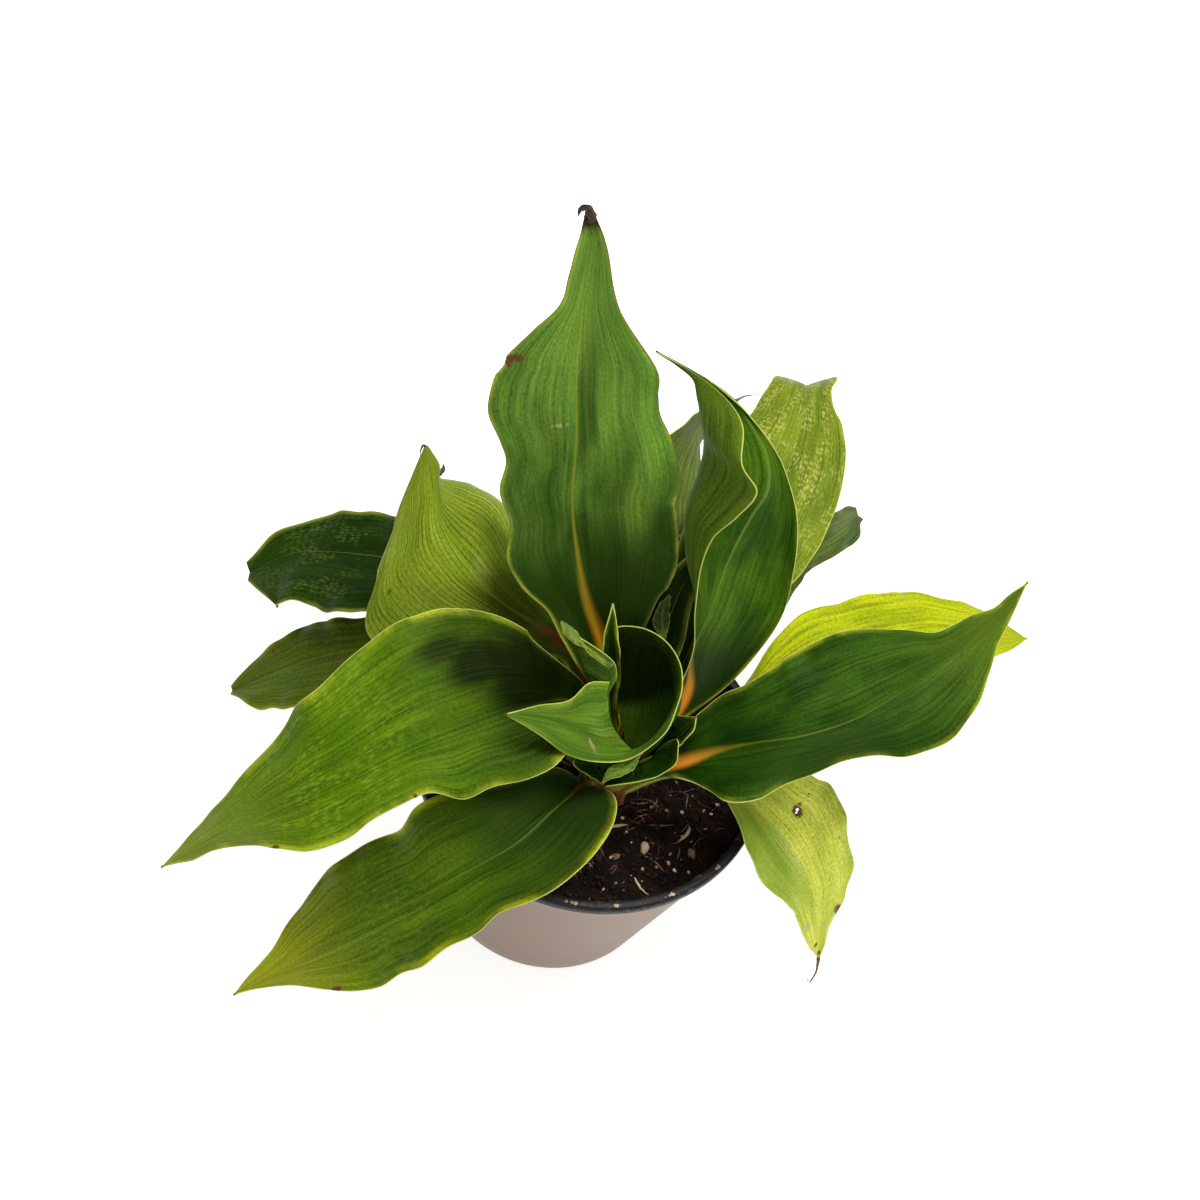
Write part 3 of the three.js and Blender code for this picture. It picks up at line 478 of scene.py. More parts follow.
# ------------------------------------------------------- Leaves: the blade
# Every leaf is one arching blade on a short channelled stalk, with parallel
# veins, a midrib that stands out below, waved sides and a thin pale margin.
# Its shape is given in mm.
STALK_HALF_WIDTH = 2.8
STALK_HALF = 0.95
BLADE_HALF = 0.25
MARGIN_HALF = 0.15
RIB_HALF = 0.95
RIB_REACH = 0.22
RIB_GROOVE = 0.30
GROOVE_HALF_WIDTH = 1.3
STALK_FADE = 0.08
TIP_HALF_WIDTH = 0.45
BEND_POWER = 1.6
WAVE_POWER = 2.4
BEND_STEPS = 24
CURVE_STEPS = 600
COLUMN_SPREAD = np.pi / 2 * 0.92
PUCKER_HEIGHT = 0.16
PUCKERS = [(2.3, 0.9), (3.9, -1.7), (5.3, 2.2), (7.1, -1.1), (9.7, 1.9), (4.4, 3.1)]
MARK_KINDS = ("scar", "fleck", "shade", "light")
FULL_DETAIL = (160, 20)
SMALL_DETAIL = (96, 12)
FLAT_BEND = [[50, 62, 50, 62], [20, 10, 20, 10], [10, -6, 10, -6], [10, -4, 10, -4], [26, 18, 26, 18]]


def smooth_through(values, x):
    """Smooth lines through evenly spaced rows of values, read at each x from 0 to 1."""
    values = np.asarray(values, float).reshape(len(values), -1)
    row = np.vstack([2 * values[0] - values[1], values, 2 * values[-1] - values[-2]])
    place = np.clip(x, 0, 1) * (len(values) - 1)
    start = np.minimum(place.astype(int), len(values) - 2)
    t = (place - start)[:, None]
    before, here, there, after = (row[start + k] for k in range(4))
    slope_here, slope_there, rise = (there - before) / 2, (after - here) / 2, there - here
    bend = 3 * rise - 2 * slope_here - slope_there
    return here + slope_here * t + bend * t ** 2 + (slope_here + slope_there - 2 * rise) * t ** 3


def unit(vectors):
    return vectors / np.maximum(np.linalg.norm(vectors, axis=-1, keepdims=True), 1e-9)


def length_along(points):
    """Distance from the first point to each point of a line."""
    return np.concatenate([[0], np.cumsum(np.linalg.norm(np.diff(points, axis=0), axis=1))])


def along_curve(points, shares):
    """Places and directions on a smooth curve at shares of its length."""
    fine = np.linspace(0, 1, CURVE_STEPS)
    length = length_along(smooth_through(points, fine))
    x = np.interp(shares, length / length[-1], fine)
    return smooth_through(points, x), unit(smooth_through(points, x + 1e-4) - smooth_through(points, x - 1e-4))


def surface_normal(points):
    return unit(np.cross(np.gradient(points, axis=1), np.gradient(points, axis=0)))


def margin_ripple(wave, blade, share, side):
    """How far the waved side stands off the blade's plane."""
    height, count, left_phase, right_phase = wave
    phase = np.where(side < 0, left_phase, right_phase)
    broad = height * np.sin(2 * np.pi * (count * blade + phase)) * share ** WAVE_POWER
    fine = 0.30 * height * np.sin(2 * np.pi * (2.7 * count * blade + 3.1 * phase)) * share ** 4
    return np.sin(np.pi * blade) * (broad + fine)


def torn_width(blade, side, tears):
    """Share of the full width that is left where the margin is notched or torn."""
    left = np.ones(np.broadcast(blade, side).shape)
    for tear_side, place, length, depth in tears:
        notch = np.clip(1 - np.abs(blade - place) / length, 0, 1) ** 0.7
        left = left - np.where(side == tear_side, depth * notch, 0)
    return left


def bent_surface(shape, s, blade, side, share):
    """Middle surface of a leaf that is bent from its midrib: rows of points from seat to tip."""
    places, along = along_curve(shape["midrib"], s)
    normal = smooth_through(shape["face"], s)
    normal = unit(normal - along * np.sum(normal * along, axis=1, keepdims=True))
    rightward = np.cross(along, normal)
    stalk = shape["stalk"]
    bends = smooth_through(shape.get("bend", FLAT_BEND), blade[:, 0])
    widths = []
    for half in ("left", "right"):
        width = np.maximum(smooth_through(shape[half], blade[:, 0])[:, 0], TIP_HALF_WIDTH)
        on_stalk = STALK_HALF_WIDTH + (shape[half][0] - STALK_HALF_WIDTH) * s / stalk
        widths.append(np.where(s < stalk, on_stalk, width))
    width = np.where(side < 0, widths[0][:, None], widths[1][:, None])
    width = width * torn_width(blade, side, shape.get("tears", []))
    at_rib = np.where(side < 0, bends[:, 0:1], bends[:, 2:3])
    at_margin = np.where(side < 0, bends[:, 1:2], bends[:, 3:4])
    across, above = np.zeros_like(width * share), np.zeros_like(width * share)
    for k in range(BEND_STEPS):
        at = (k + 0.5) / BEND_STEPS * share
        angle = np.radians(at_rib + (at_margin - at_rib) * at ** BEND_POWER)
        across += np.cos(angle) * share * width / BEND_STEPS
        above += np.sin(angle) * share * width / BEND_STEPS
    above = above + margin_ripple(shape["wave"], blade, share, side)
    across = across * side
    points = places[:, None] + across[..., None] * rightward[:, None] + above[..., None] * normal[:, None]
    return points, width


def rolled_surface(shape, s, blade, side, share):
    """The same for a leaf drawn through stations of five points across it."""
    row = smooth_through([np.ravel(station) for station in shape["stations"]], s).reshape(len(s), 5, 3)
    kept = (share * torn_width(blade, side, shape.get("tears", [])))[..., None]
    is_left = (side < 0)[..., None]
    middle = np.where(is_left, row[:, None, 1], row[:, None, 3])
    margin = np.where(is_left, row[:, None, 0], row[:, None, 4])
    points = row[:, None, 2] * (1 - kept) * (1 - 2 * kept) + middle * 4 * kept * (1 - kept)
    points = points + margin * kept * (2 * kept - 1)
    steps = np.linalg.norm(np.diff(row, axis=1), axis=2)
    width = np.where(side < 0, steps[:, :1] + steps[:, 1:2], steps[:, 3:] + steps[:, 2:3])
    if "wave" in shape:
        points = points + surface_normal(points) * margin_ripple(shape["wave"], blade, share, side)[..., None]
    return points, width


def leaf_mesh(shape, seed):
    """The closed blade, with the values that its finish reads kept at each vertex."""
    row_count, half_columns = shape.get("detail", FULL_DETAIL)
    s = np.linspace(0, 1, row_count + 1)
    blade = np.maximum((s - shape["stalk"]) / (1 - shape["stalk"]), 0)
    half_t = np.sin(np.linspace(0, 1, half_columns + 1) * COLUMN_SPREAD) / np.sin(COLUMN_SPREAD)
    t = np.concatenate([-half_t[:0:-1], half_t])
    across, along = t[None, :], blade[:, None]
    share, side = np.abs(across), np.sign(across)
    surface = rolled_surface if "stations" in shape else bent_surface
    points, width = surface(shape, s, along, side, share)
    rows, columns = points.shape[:2]

    # Pucker, then the two faces of the blade, thicker at the rib and on the stalk.
    draw = np.random.default_rng(seed)
    pucker = 0
    for k, (up, over) in enumerate(PUCKERS):
        wave = np.sin(up * along * 6.28 + over * across * 3.14 + draw.uniform(0, 6.28))
        pucker = pucker + wave / (1 + k * 0.4)
    normal = surface_normal(points)
    swell = PUCKER_HEIGHT * pucker * np.sin(np.pi * np.clip(along, 0, 1)) * share ** 0.5
    points = points + normal * swell[..., None]
    rib = np.clip(1 - share / RIB_REACH, 0, None) * (1 - along)
    blade_half = BLADE_HALF + (MARGIN_HALF - BLADE_HALF) * share ** 6
    below = blade_half + (RIB_HALF - BLADE_HALF) * rib
    above = blade_half - RIB_GROOVE * np.exp(-((share * width / GROOVE_HALF_WIDTH) ** 2)) * (1 - along)
    on_stalk = np.clip(1 - along / STALK_FADE, 0, 1)
    stalk_half = STALK_HALF * (1 - 0.4 * share)
    above = above + (stalk_half - above) * on_stalk
    below = below + (stalk_half - below) * on_stalk
    upper = points + normal * above[..., None]
    lower = points - normal * below[..., None]
    vertices = np.concatenate([upper.reshape(-1, 3), lower.reshape(-1, 3)]) * MM

    # Distances in mm over the veins and up the leaf, which holes and marks are placed by.
    up_leaf = length_along(points[:, columns // 2])
    up_leaf = up_leaf - np.interp(shape["stalk"], s, up_leaf)
    x_mm = across * width
    y_mm = np.broadcast_to(up_leaf[:, None], (rows, columns))

    def far_from(place, at, long, wide, x, y):
        """Squared distance of places from a spot on the blade, over its size."""
        column = np.abs(t - at).argmin()
        off_x = x - np.interp(place, blade, x_mm[:, column])
        off_y = y - np.interp(place, blade, up_leaf)
        return (off_x / wide) ** 2 + (off_y / long) ** 2

    index = np.arange(rows * columns).reshape(rows, columns)
    top = np.stack([index[:-1, :-1], index[:-1, 1:], index[1:, 1:], index[1:, :-1]], -1).reshape(-1, 4)
    for hole in shape.get("holes", []):
        quad_x, quad_y = ((grid.ravel()[top[:, 0]] + grid.ravel()[top[:, 2]]) / 2 for grid in (x_mm, y_mm))
        top = top[far_from(*hole, quad_x, quad_y) > 1]
    under = rows * columns
    faces = np.concatenate([top, top[:, ::-1] + under]).tolist()
    edges = {}
    for face in top.tolist():
        for start, end in zip(face, face[1:] + face[:1]):
            if edges.pop((end, start), None) is None:
                edges[(start, end)] = True
    faces += [(end, start, under + start, under + end) for start, end in edges]

    marks = {kind: np.zeros((rows, columns)) for kind in MARK_KINDS}
    for kind, place, at, long, wide, *strength in shape.get("marks", []):
        reach = np.sqrt(far_from(place, at, long, wide, x_mm, y_mm))
        mark = np.clip(1.6 - reach, 0, 1) * (strength[0] if strength else 1)
        marks[kind] = np.maximum(marks[kind], mark)
    vein = across * np.where(across < 0, width[:, :1].max(), width[:, -1:].max())
    values = {"across": across, "along": along, "half_width": width, "vein": vein, "up_leaf": y_mm, **marks}
    return vertices, faces, {key: np.broadcast_to(grid, (rows, columns)) for key, grid in values.items()}


# The leaf finish is one group of nodes that every leaf's material places with its
# own colours and amounts. It reads the leaf's own values: across, from -1 to 1
# between the margins; along the blade from 0 to 1; half width, distance up the leaf
# and distance over the veins in mm; and its scars, flecks, and its marks of painted
# shade and painted light.
LEAF_INPUTS = {
    "Deep": (0.030, 0.085, 0.006, 1), "Light": (0.075, 0.160, 0.012, 1), "Yellow": (0.30, 0.35, 0.02, 1),
    "Margin": (0.56, 0.60, 0.13, 1), "Rib": (0.20, 0.25, 0.045, 1), "Orange": (0.52, 0.17, 0.008, 1),
    "Dash": (0.30, 0.40, 0.03, 1),
    "Under": (0.13, 0.19, 0.055, 1), "Base Shade": (0.006, 0.022, 0.001, 1), "Base Shade Reach": 0.22, "Base Shade Depth": 0.93,
    "Patches": 0.6, "Stripes": 0.30, "Lines": 0.22, "Grain": 0.22, "Dark Veins": 0.0, "Yellowing": 0.0,
    "Edge Glow": 3.0, "Painted Tip Light": 0.0, "Tip Glow": 0.0, "Dashes": 0.0, "Dash From": 0.25, "Dash Size": 1.0,
    "Rib Width": 0.5, "Rib Strength": 0.5, "Orange Reach": 0.2, "Orange Width": 2.0,
    "Margin Width": 0.33, "Margin From": 0.0, "Dry Tip": 0.995, "Brown": 0.0, "Seed": 0.0,
}
SCAR_BROWN = (0.130, 0.042, 0.018, 1)
FLECK_TAN = (0.42, 0.38, 0.16, 1)
SPOT_BROWN = (0.16, 0.06, 0.02, 1)
DRY_BROWN = (0.030, 0.014, 0.008, 1)
LEAF_SPECULAR = 0.11
LEAF_SPECULAR_TINT = (0.80, 1.0, 0.35, 1)
VEIN_HEIGHT = 0.00035

finish = bpy.data.node_groups.new("leaf blade finish", "ShaderNodeTree")
for socket_name, value in LEAF_INPUTS.items():
    kind = "NodeSocketColor" if isinstance(value, tuple) else "NodeSocketFloat"
    finish.interface.new_socket(socket_name, in_out="INPUT", socket_type=kind).default_value = value
for socket_name, kind in (("Colour", "Color"), ("Roughness", "Float"), ("Height", "Float")):
    finish.interface.new_socket(socket_name, in_out="OUTPUT", socket_type="NodeSocket" + kind)
given = finish.nodes.new("NodeGroupInput").outputs
made = finish.nodes.new("NodeGroupOutput").inputs


def math_of(operation, first, second=0.0):
    return add_node(finish, "Math", {0: first, 1: second}, operation=operation)


def total(first, second):
    return math_of("ADD", first, second)


def product(*factors):
    result = factors[0]
    for factor in factors[1:]:
        result = math_of("MULTIPLY", result, factor)
    return result


def soft_step(value, low, high, to_low=0.0, to_high=1.0):
    """A soft step between two values of the input, upward, or downward where low is above high."""
    return ramp_of(finish, value, low, high, to_low, to_high, "SMOOTHSTEP")


def laid_over(colour, amount, second):
    return mix_of(finish, amount, colour, second)


def leaf_value(name):
    return add_node(finish, "Attribute", out=2, attribute_name=name)


def leaf_place(over_mm, up_mm, offset=0.0):
    """A place on the blade, scaled so that one unit is this many mm over and up the veins."""
    x, y = product(vein, 1 / over_mm), product(up_leaf, 1 / up_mm)
    return add_node(finish, "CombineXYZ", {0: x, 1: y, 2: total(given["Seed"], offset)})


def leaf_noise(over_mm, up_mm, detail, offset=0.0, roughness=0.55):
    """Noise with soft features of about this size, stretched along the veins."""
    place = leaf_place(over_mm, up_mm, offset)
    return add_node(finish, "TexNoise", {"Vector": place, "Scale": 1.0, "Detail": detail, "Roughness": roughness})


def swing(value, amount):
    """Noise as a change either way of zero, times an amount."""
    return product(ramp_of(finish, value, 0.32, 0.68, -1.0, 1.0), amount)


def toned(colour):
    """A colour with the leaf's stripes, lines and grain."""
    return mix_of(finish, 1.0, colour, tone, "MULTIPLY")


across, along, half_width = leaf_value("across"), leaf_value("along"), leaf_value("half_width")
vein, up_leaf, upper = leaf_value("vein"), leaf_value("up_leaf"), leaf_value("upper")
from_rib = product(math_of("ABSOLUTE", across), half_width)
from_margin = math_of("SUBTRACT", half_width, from_rib)
toward_base = math_of("SUBTRACT", 1.0, along)

# Green: soft patches, then stripes and fine lines between the veins, and a faint grain.
patches = soft_step(leaf_noise(11.0, 26.0, 3.0), 0.33, 0.67)
stripes = leaf_noise(1.3, 40.0, 1.0, 7.0)
lines = leaf_noise(0.45, 55.0, 1.0, 13.0)
grain = leaf_noise(0.9, 1.1, 3.0, 17.0, 0.5)
stripe_zone = soft_step(leaf_noise(9.0, 20.0, 1.0, 19.0), 0.35, 0.62, 0.45, 1.0)
tone = total(product(swing(stripes, given["Stripes"]), stripe_zone), swing(lines, given["Lines"]))
tone = total(tone, swing(grain, given["Grain"]))
vein_wander = ramp_of(finish, leaf_noise(3.0, 18.0, 1.0, 61.0), 0.0, 1.0, -0.35, 0.35)
vein_count = total(product(vein, 0.55), vein_wander)
vein_line = soft_step(math_of("PINGPONG", vein_count, 0.5), 0.16, 0.0)
tone = math_of("SUBTRACT", tone, product(vein_line, stripe_zone, given["Dark Veins"]))
tone = math_of("MAXIMUM", total(tone, 1.0), 0.25)
colour = toned(laid_over(given["Deep"], product(patches, given["Patches"]), given["Light"]))
# Painted light: the blade is painted lighter toward the tip, which reaches out of the shaded heart into the light.
colour = laid_over(colour, product(soft_step(along, 0.25, 1.0), given["Painted Tip Light"]), toned(given["Light"]))
# Painted shade: the blade is darkened toward its base, where the leaves shade one another in the heart of the
# plant.
base_shade_fade = product(given["Base Shade Reach"], 0.35)
painted_base_shade = soft_step(along, given["Base Shade Reach"], base_shade_fade, 0.0, given["Base Shade Depth"])
colour = laid_over(colour, painted_base_shade, given["Base Shade"])

# Yellow: toward the margins and the tip, and in old patches.
edge_break = soft_step(leaf_noise(40.0, 13.0, 2.0, 21.0), 0.36, 0.64, 0.12, 1.0)
edge_line = soft_step(from_margin, given["Edge Glow"], 0.0)
edge_glow = product(edge_line, edge_line, edge_break, 0.8)
tip_glow = product(soft_step(along, 0.55, 1.0), given["Tip Glow"])
old_patches = soft_step(leaf_noise(7.0, 24.0, 3.0, 31.0), 0.28, 0.70, 0.30, 1.0)
old_glow = product(old_patches, given["Yellowing"])
glow = math_of("MAXIMUM", math_of("MAXIMUM", edge_glow, tip_glow), old_glow)
colour = laid_over(colour, glow, toned(given["Yellow"]))

# Painted light and painted shade: the light marks lay sheen and lit patches on in the Dash colour, and the shade
# marks darken places toward the Base Shade colour, which on the drooping yellow leaf is its own green. Then rows of
# soft dashes along the veins.
colour = laid_over(colour, soft_step(leaf_value("light"), 0.0, 1.0, 0.0, 0.8), toned(given["Dash"]))
colour = laid_over(colour, soft_step(leaf_value("shade"), 0.0, 1.0, 0.0, 0.92), given["Base Shade"])
wander = ramp_of(finish, leaf_noise(4.0, 5.0, 1.0, 37.0), 0.0, 1.0, -0.45, 0.45)
dash_over = math_of("DIVIDE", vein, product(given["Dash Size"], 1.6))
dash_up = math_of("DIVIDE", up_leaf, product(given["Dash Size"], 3.6))
dash_place = add_node(finish, "CombineXYZ", {0: total(dash_over, wander), 1: dash_up, 2: 0.0})
dash_inputs = {"Vector": dash_place, "Scale": 1.0, "Randomness": 0.7}
dash_spots = add_node(finish, "TexVoronoi", dash_inputs, voronoi_dimensions="2D")
dash_size = ramp_of(finish, leaf_noise(2.0, 3.6, 1.0, 41.0), 0.35, 0.65, 0.30, 0.72)
dash_zone = soft_step(leaf_noise(7.0, 15.0, 2.0, 43.0), 0.42, 0.60)
dash_from = soft_step(along, given["Dash From"], total(given["Dash From"], 0.2))
dash_amount = product(soft_step(dash_spots, dash_size, 0.0), dash_zone, dash_from, given["Dashes"])
colour = laid_over(colour, dash_amount, given["Dash"])

# Midrib: a pale line that turns orange and wider toward the stalk.
orange_reach = soft_step(along, given["Orange Reach"], 0.0)
rib_width = total(product(given["Rib Width"], toward_base), product(orange_reach, given["Orange Width"]))
rib_mask = soft_step(from_rib, rib_width, product(rib_width, 0.1))
rib_amount = product(rib_mask, math_of("MAXIMUM", given["Rib Strength"], orange_reach))
colour = laid_over(colour, rib_amount, laid_over(given["Rib"], orange_reach, given["Orange"]))

# The underside is paler and duller, with the same veins.
under_amount = soft_step(upper, 0.55, 0.25, 0.0, 0.85)
colour = laid_over(colour, under_amount, toned(given["Under"]))

# Margin, scars, flecks, brown spots and the dried tip.
margin_mask = soft_step(from_margin, given["Margin Width"], product(given["Margin Width"], 0.35))
on_blade = soft_step(along, given["Margin From"], total(given["Margin From"], 0.06))
colour = laid_over(colour, product(margin_mask, on_blade, 0.9), given["Margin"])
scar_edge = total(leaf_value("scar"), swing(grain, 0.25))
colour = laid_over(colour, soft_step(scar_edge, 0.35, 0.75), SCAR_BROWN)
fleck_edge = total(leaf_value("fleck"), swing(stripes, 0.35))
colour = laid_over(colour, soft_step(fleck_edge, 0.35, 0.95, 0.0, 0.8), FLECK_TAN)
brown_spots = soft_step(leaf_noise(1.6, 2.2, 4.0, 47.0), 0.60, 0.70)
colour = laid_over(colour, product(brown_spots, given["Brown"]), SPOT_BROWN)
dry_line = total(along, swing(stripes, 0.012))
colour = laid_over(colour, soft_step(dry_line, given["Dry Tip"], total(given["Dry Tip"], 0.012)), DRY_BROWN)
finish.links.new(colour, made["Colour"])

gloss = ramp_of(finish, leaf_noise(5.0, 9.0, 4.0, 53.0), 0.3, 0.7, 0.40, 0.54)
finish.links.new(total(gloss, product(under_amount, 0.18)), made["Roughness"])
finish.links.new(total(lines, total(product(stripes, 2.2), product(grain, 0.35))), made["Height"])


def leaf_material(name, amounts):
    """One leaf's material: the shared finish with this leaf's colours and amounts."""
    material, tree, shader = plain_material(name, (0.05, 0.1, 0.02, 1), 0.45, LEAF_SPECULAR)
    shader.inputs["Specular Tint"].default_value = LEAF_SPECULAR_TINT
    group = tree.nodes.new("ShaderNodeGroup")
    group.node_tree = finish
    for socket_name, value in amounts.items():
        group.inputs[socket_name].default_value = (*value, 1) if isinstance(value, tuple) else value
    tree.links.new(group.outputs["Colour"], shader.inputs["Base Color"])
    tree.links.new(group.outputs["Roughness"], shader.inputs["Roughness"])
    add_relief(tree, shader, group.outputs["Height"], 0.5, VEIN_HEIGHT)
    return material


def grow_leaf(name, slot, amounts, node=None, **shape):
    """Builds one blade from its shape in mm, gives it its finish and puts it in its plain solid's place."""
    seed = sum(map(ord, name))
    vertices, faces, values = leaf_mesh(shape, seed)
    material = leaf_material(name + " skin", {**amounts, "Seed": seed % 97})
    piece = add_piece(name + "_blade", vertices, faces, material)
    for value_name, grid in values.items():
        both = np.concatenate([np.ravel(grid), np.ravel(grid)]).astype(np.float32)
        piece.data.attributes.new(value_name, "FLOAT", "POINT").data.foreach_set("value", both)
    sides = np.repeat([1.0, 0.0], len(vertices) // 2).astype(np.float32)
    piece.data.attributes.new("upper", "FLOAT", "POINT").data.foreach_set("value", sides)
    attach(piece, "root")
    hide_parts(node or name)


# ------------------------------------------------------------------ Leaves
# Nineteen leaves grow from the crown, from the tall old ones at the back to the
# young rolled ones in the heart. Each is one blade with its stalk, and has its
# own greens, its own age and its own damage.
grow_leaf(
    "leaf_back_upright", "leaf_deep",
    {"Deep": (0.037, 0.112, 0.007), "Light": (0.162, 0.314, 0.037), "Yellow": (0.402, 0.434, 0.045),
     "Margin": (0.188, 0.156, 0.032), "Margin Width": 0.28, "Edge Glow": 2.2, "Rib": (0.392, 0.371, 0.034),
     "Base Shade": (0.009, 0.025, 0.001), "Base Shade Reach": 0.62, "Patches": 0.8, "Stripes": 0.32, "Lines": 0.15,
     "Painted Tip Light": 0.6, "Rib Strength": 0.45, "Rib Width": 1.5, "Dash": (0.246, 0.392, 0.04),
     "Orange": (0.913, 0.342, 0.004), "Orange Reach": 0.4, "Orange Width": 3.4, "Dry Tip": 0.976},
    stalk=0.1,
    tears=[(-1, 0.70, 0.02, 0.05)],
    # Painted light and shade: the light marks are painted sheen and lit patches in its Dash colour, the broad shade
    # marks painted shade along the groove and over the lower blade.
    marks=[
        ("scar", 0.722, -0.87, 1.5, 2.4, 0.8), ("scar", 0.712, -0.96, 2.6, 1.0, 0.8),
        ("fleck", 0.59, -0.19, 0.8, 2.2), ("light", 0.62, 0.45, 22, 5, 0.30),
        ("light", 0.80, -0.10, 16, 5, 0.4), ("light", 0.60, -0.26, 14, 3, 0.4),
        ("light", 0.42, 0.62, 14, 4, 0.5), ("shade", 0.52, -0.60, 28, 9, 0.35),
        ("shade", 0.66, 0.16, 24, 3, 0.5), ("shade", 0.76, 0.40, 12, 9, 0.3),
        ("shade", 0.50, 0.40, 20, 5, 0.4), ("shade", 0.30, 0.50, 18, 12, 0.45),
        ("shade", 0.97, 0.0, 0.5, 0.5, 0.9), ("shade", 0.955, 0.5, 0.5, 0.5, 0.9),
    ],
    midrib=[[4, -5, 101], [-1, 4, 114], [-7, 11, 130], [-17, 17, 143], [-24, 23, 155], [-31, 30, 171],
            [-35, 36, 190], [-40, 41, 209], [-44, 46, 231], [-46, 50, 249], [-49, 53, 258]],
    face=[[0.2, -0.6, 0.7], [0.1, -0.8, 0.6], [0, -0.8, 0.6]],
    left=[4, 9, 12.5, 13, 13.5, 19, 22, 19.5, 22, 20.5, 22.5, 26, 24.5, 20.5, 13.5, 6.5, 5.4, 4.6, 1.8],
    right=[4, 7, 12, 20, 27, 31, 32, 32, 31.5, 32.5, 29, 25, 24, 23.5, 17.5, 11.5, 8, 5, 1.8],
    wave=[1.6, 4, 0.1, 0.5],
)

grow_leaf(
    "leaf_back_inner", "leaf_deep",
    # Painted shade: its greens are painted very dark for the shade it stands in behind the upright leaf.
    {"Deep": (0.009, 0.032, 0.002), "Light": (0.019, 0.065, 0.004)},
    stalk=0.15,
    midrib=[[11, -4, 95], [16.5, 10, 104.5], [20, 27, 118], [20, 41, 134], [18, 53, 150], [15, 64, 165],
            [11, 74, 177], [8, 80, 183]],
    face=[[-0.1, -0.7, 0.6], [-0.2, -0.8, 0.4], [-0.1, -0.9, 0.4]],
    left=[4, 8, 11, 13, 14, 14, 13, 12, 9, 5, 0],
    right=[4, 6, 8, 9, 10, 10, 10, 9, 7, 4, 0],
    wave=[1, 3, 0.2, 0.6],
)

grow_leaf(
    "leaf_back_small", "leaf_deep",
    # Painted shade: its greens are painted near black for the shade it stands in at the back of the heart.
    {"Deep": (0.004, 0.014, 0.002), "Light": (0.008, 0.025, 0.002)},
    stalk=0.12,
    midrib=[[7, -4, 98], [8.5, 5, 108], [10, 15, 119], [10, 23, 131], [10, 30, 143], [12, 38, 151],
            [16, 46, 155]],
    face=[[0, -0.7, 0.7], [-0.1, -0.8, 0.5]],
    left=[4, 7, 9, 10, 10, 9.5, 8.5, 7, 5, 3, 0],
    right=[4, 5, 6, 7, 7, 7, 6, 5, 4, 2, 0],
    wave=[0.5, 3, 0.2, 0.6],
)

grow_leaf(
    "leaf_far_right", "leaf_yellowing",
    {"Deep": (0.076, 0.138, 0.007), "Light": (0.15, 0.231, 0.013), "Yellow": (0.342, 0.371, 0.025),
     "Dash": (0.565, 0.552, 0.127), "Stripes": 0.2, "Yellowing": 0.35, "Dashes": 0.75, "Dash From": 0.02,
     "Dash Size": 0.66},
    stalk=0.3,
    midrib=[[9, -4, 90], [17, 14, 100], [26, 40, 111], [31, 67, 122], [32, 88, 129], [34, 109, 134],
            [34, 131, 136], [34, 146, 134], [34, 156, 128], [33, 162, 119]],
    face=[[0, -0.3, 1], [0, 0, 1], [0, 0.2, 1], [-0.4, 1, 0.6]],
    left=[4, 8.5, 13, 16.5, 19, 20.5, 22, 23, 23.5, 24, 24, 22.5, 18.5, 16.5, 15, 13.5, 13, 11, 4],
    right=[4, 8.5, 12.5, 15.5, 18, 19.5, 21, 21.5, 21.5, 21, 20, 18.5, 17, 14.5, 10.5, 9, 11, 11, 7],
    wave=[1.8, 3.5, 0.4, 0.15],
)

grow_leaf(
    "leaf_far_right_low", "leaf_shaded",
    {"Deep": (0.048, 0.084, 0.014), "Light": (0.107, 0.156, 0.032), "Yellow": (0.156, 0.162, 0.032),
     "Margin": (0.08, 0.068, 0.016), "Edge Glow": 1.5, "Patches": 0.9},
    stalk=0.32,
    midrib=[[10, -4, 86], [20, 20, 94], [32, 57, 102], [42, 81, 104], [51, 98, 102], [62, 118, 96],
            [71, 141, 86]],
    face=[[0, -0.3, 1], [0.2, 0, 1], [0.4, 0.1, 0.9], [0.45, 0.15, 0.88]],
    left=[4, 7, 9.5, 11, 12.5, 13, 13, 12.5, 12, 11, 10, 9, 8.5, 8, 7.5, 7, 6.5, 6, 3.5],
    right=[4, 7, 9.5, 11, 12.5, 12, 11, 9.5, 8, 6.5, 6, 6, 6.5, 6.5, 6.6, 7, 6.5, 3.5, 2.5],
    wave=[1.4, 4, 0, 0.4],
)

grow_leaf(
    "leaf_far_middle", "leaf_shaded",
    {"Deep": (0.08, 0.117, 0.016), "Light": (0.138, 0.181, 0.034), "Under": (0.102, 0.144, 0.027)},
    stalk=0.3,
    midrib=[[5, -5, 93], [3.5, 14, 106], [4, 38, 118], [2, 58, 128], [-2, 73, 137], [-3, 88, 142],
            [-1, 106, 141], [6, 122, 134]],
    face=[[0, -0.4, 1], [0, 0.2, 1], [-0.4, 0.9, 0.1], [-0.2, 0.8, -0.3]],
    left=[4, 9, 12.5, 13.5, 13, 12.5, 13, 14.5, 13, 8, 2],
    right=[4, 9, 12, 14, 14, 14, 13, 10.5, 7.5, 5, 2],
    bend=[[50, 62, 50, 62], [10, 0, 20, 10], [-30, -40, 10, -6], [-30, -40, 10, -4], [-10, -10, 26, 18]],
    wave=[1.2, 3, 0, 0.4],
)

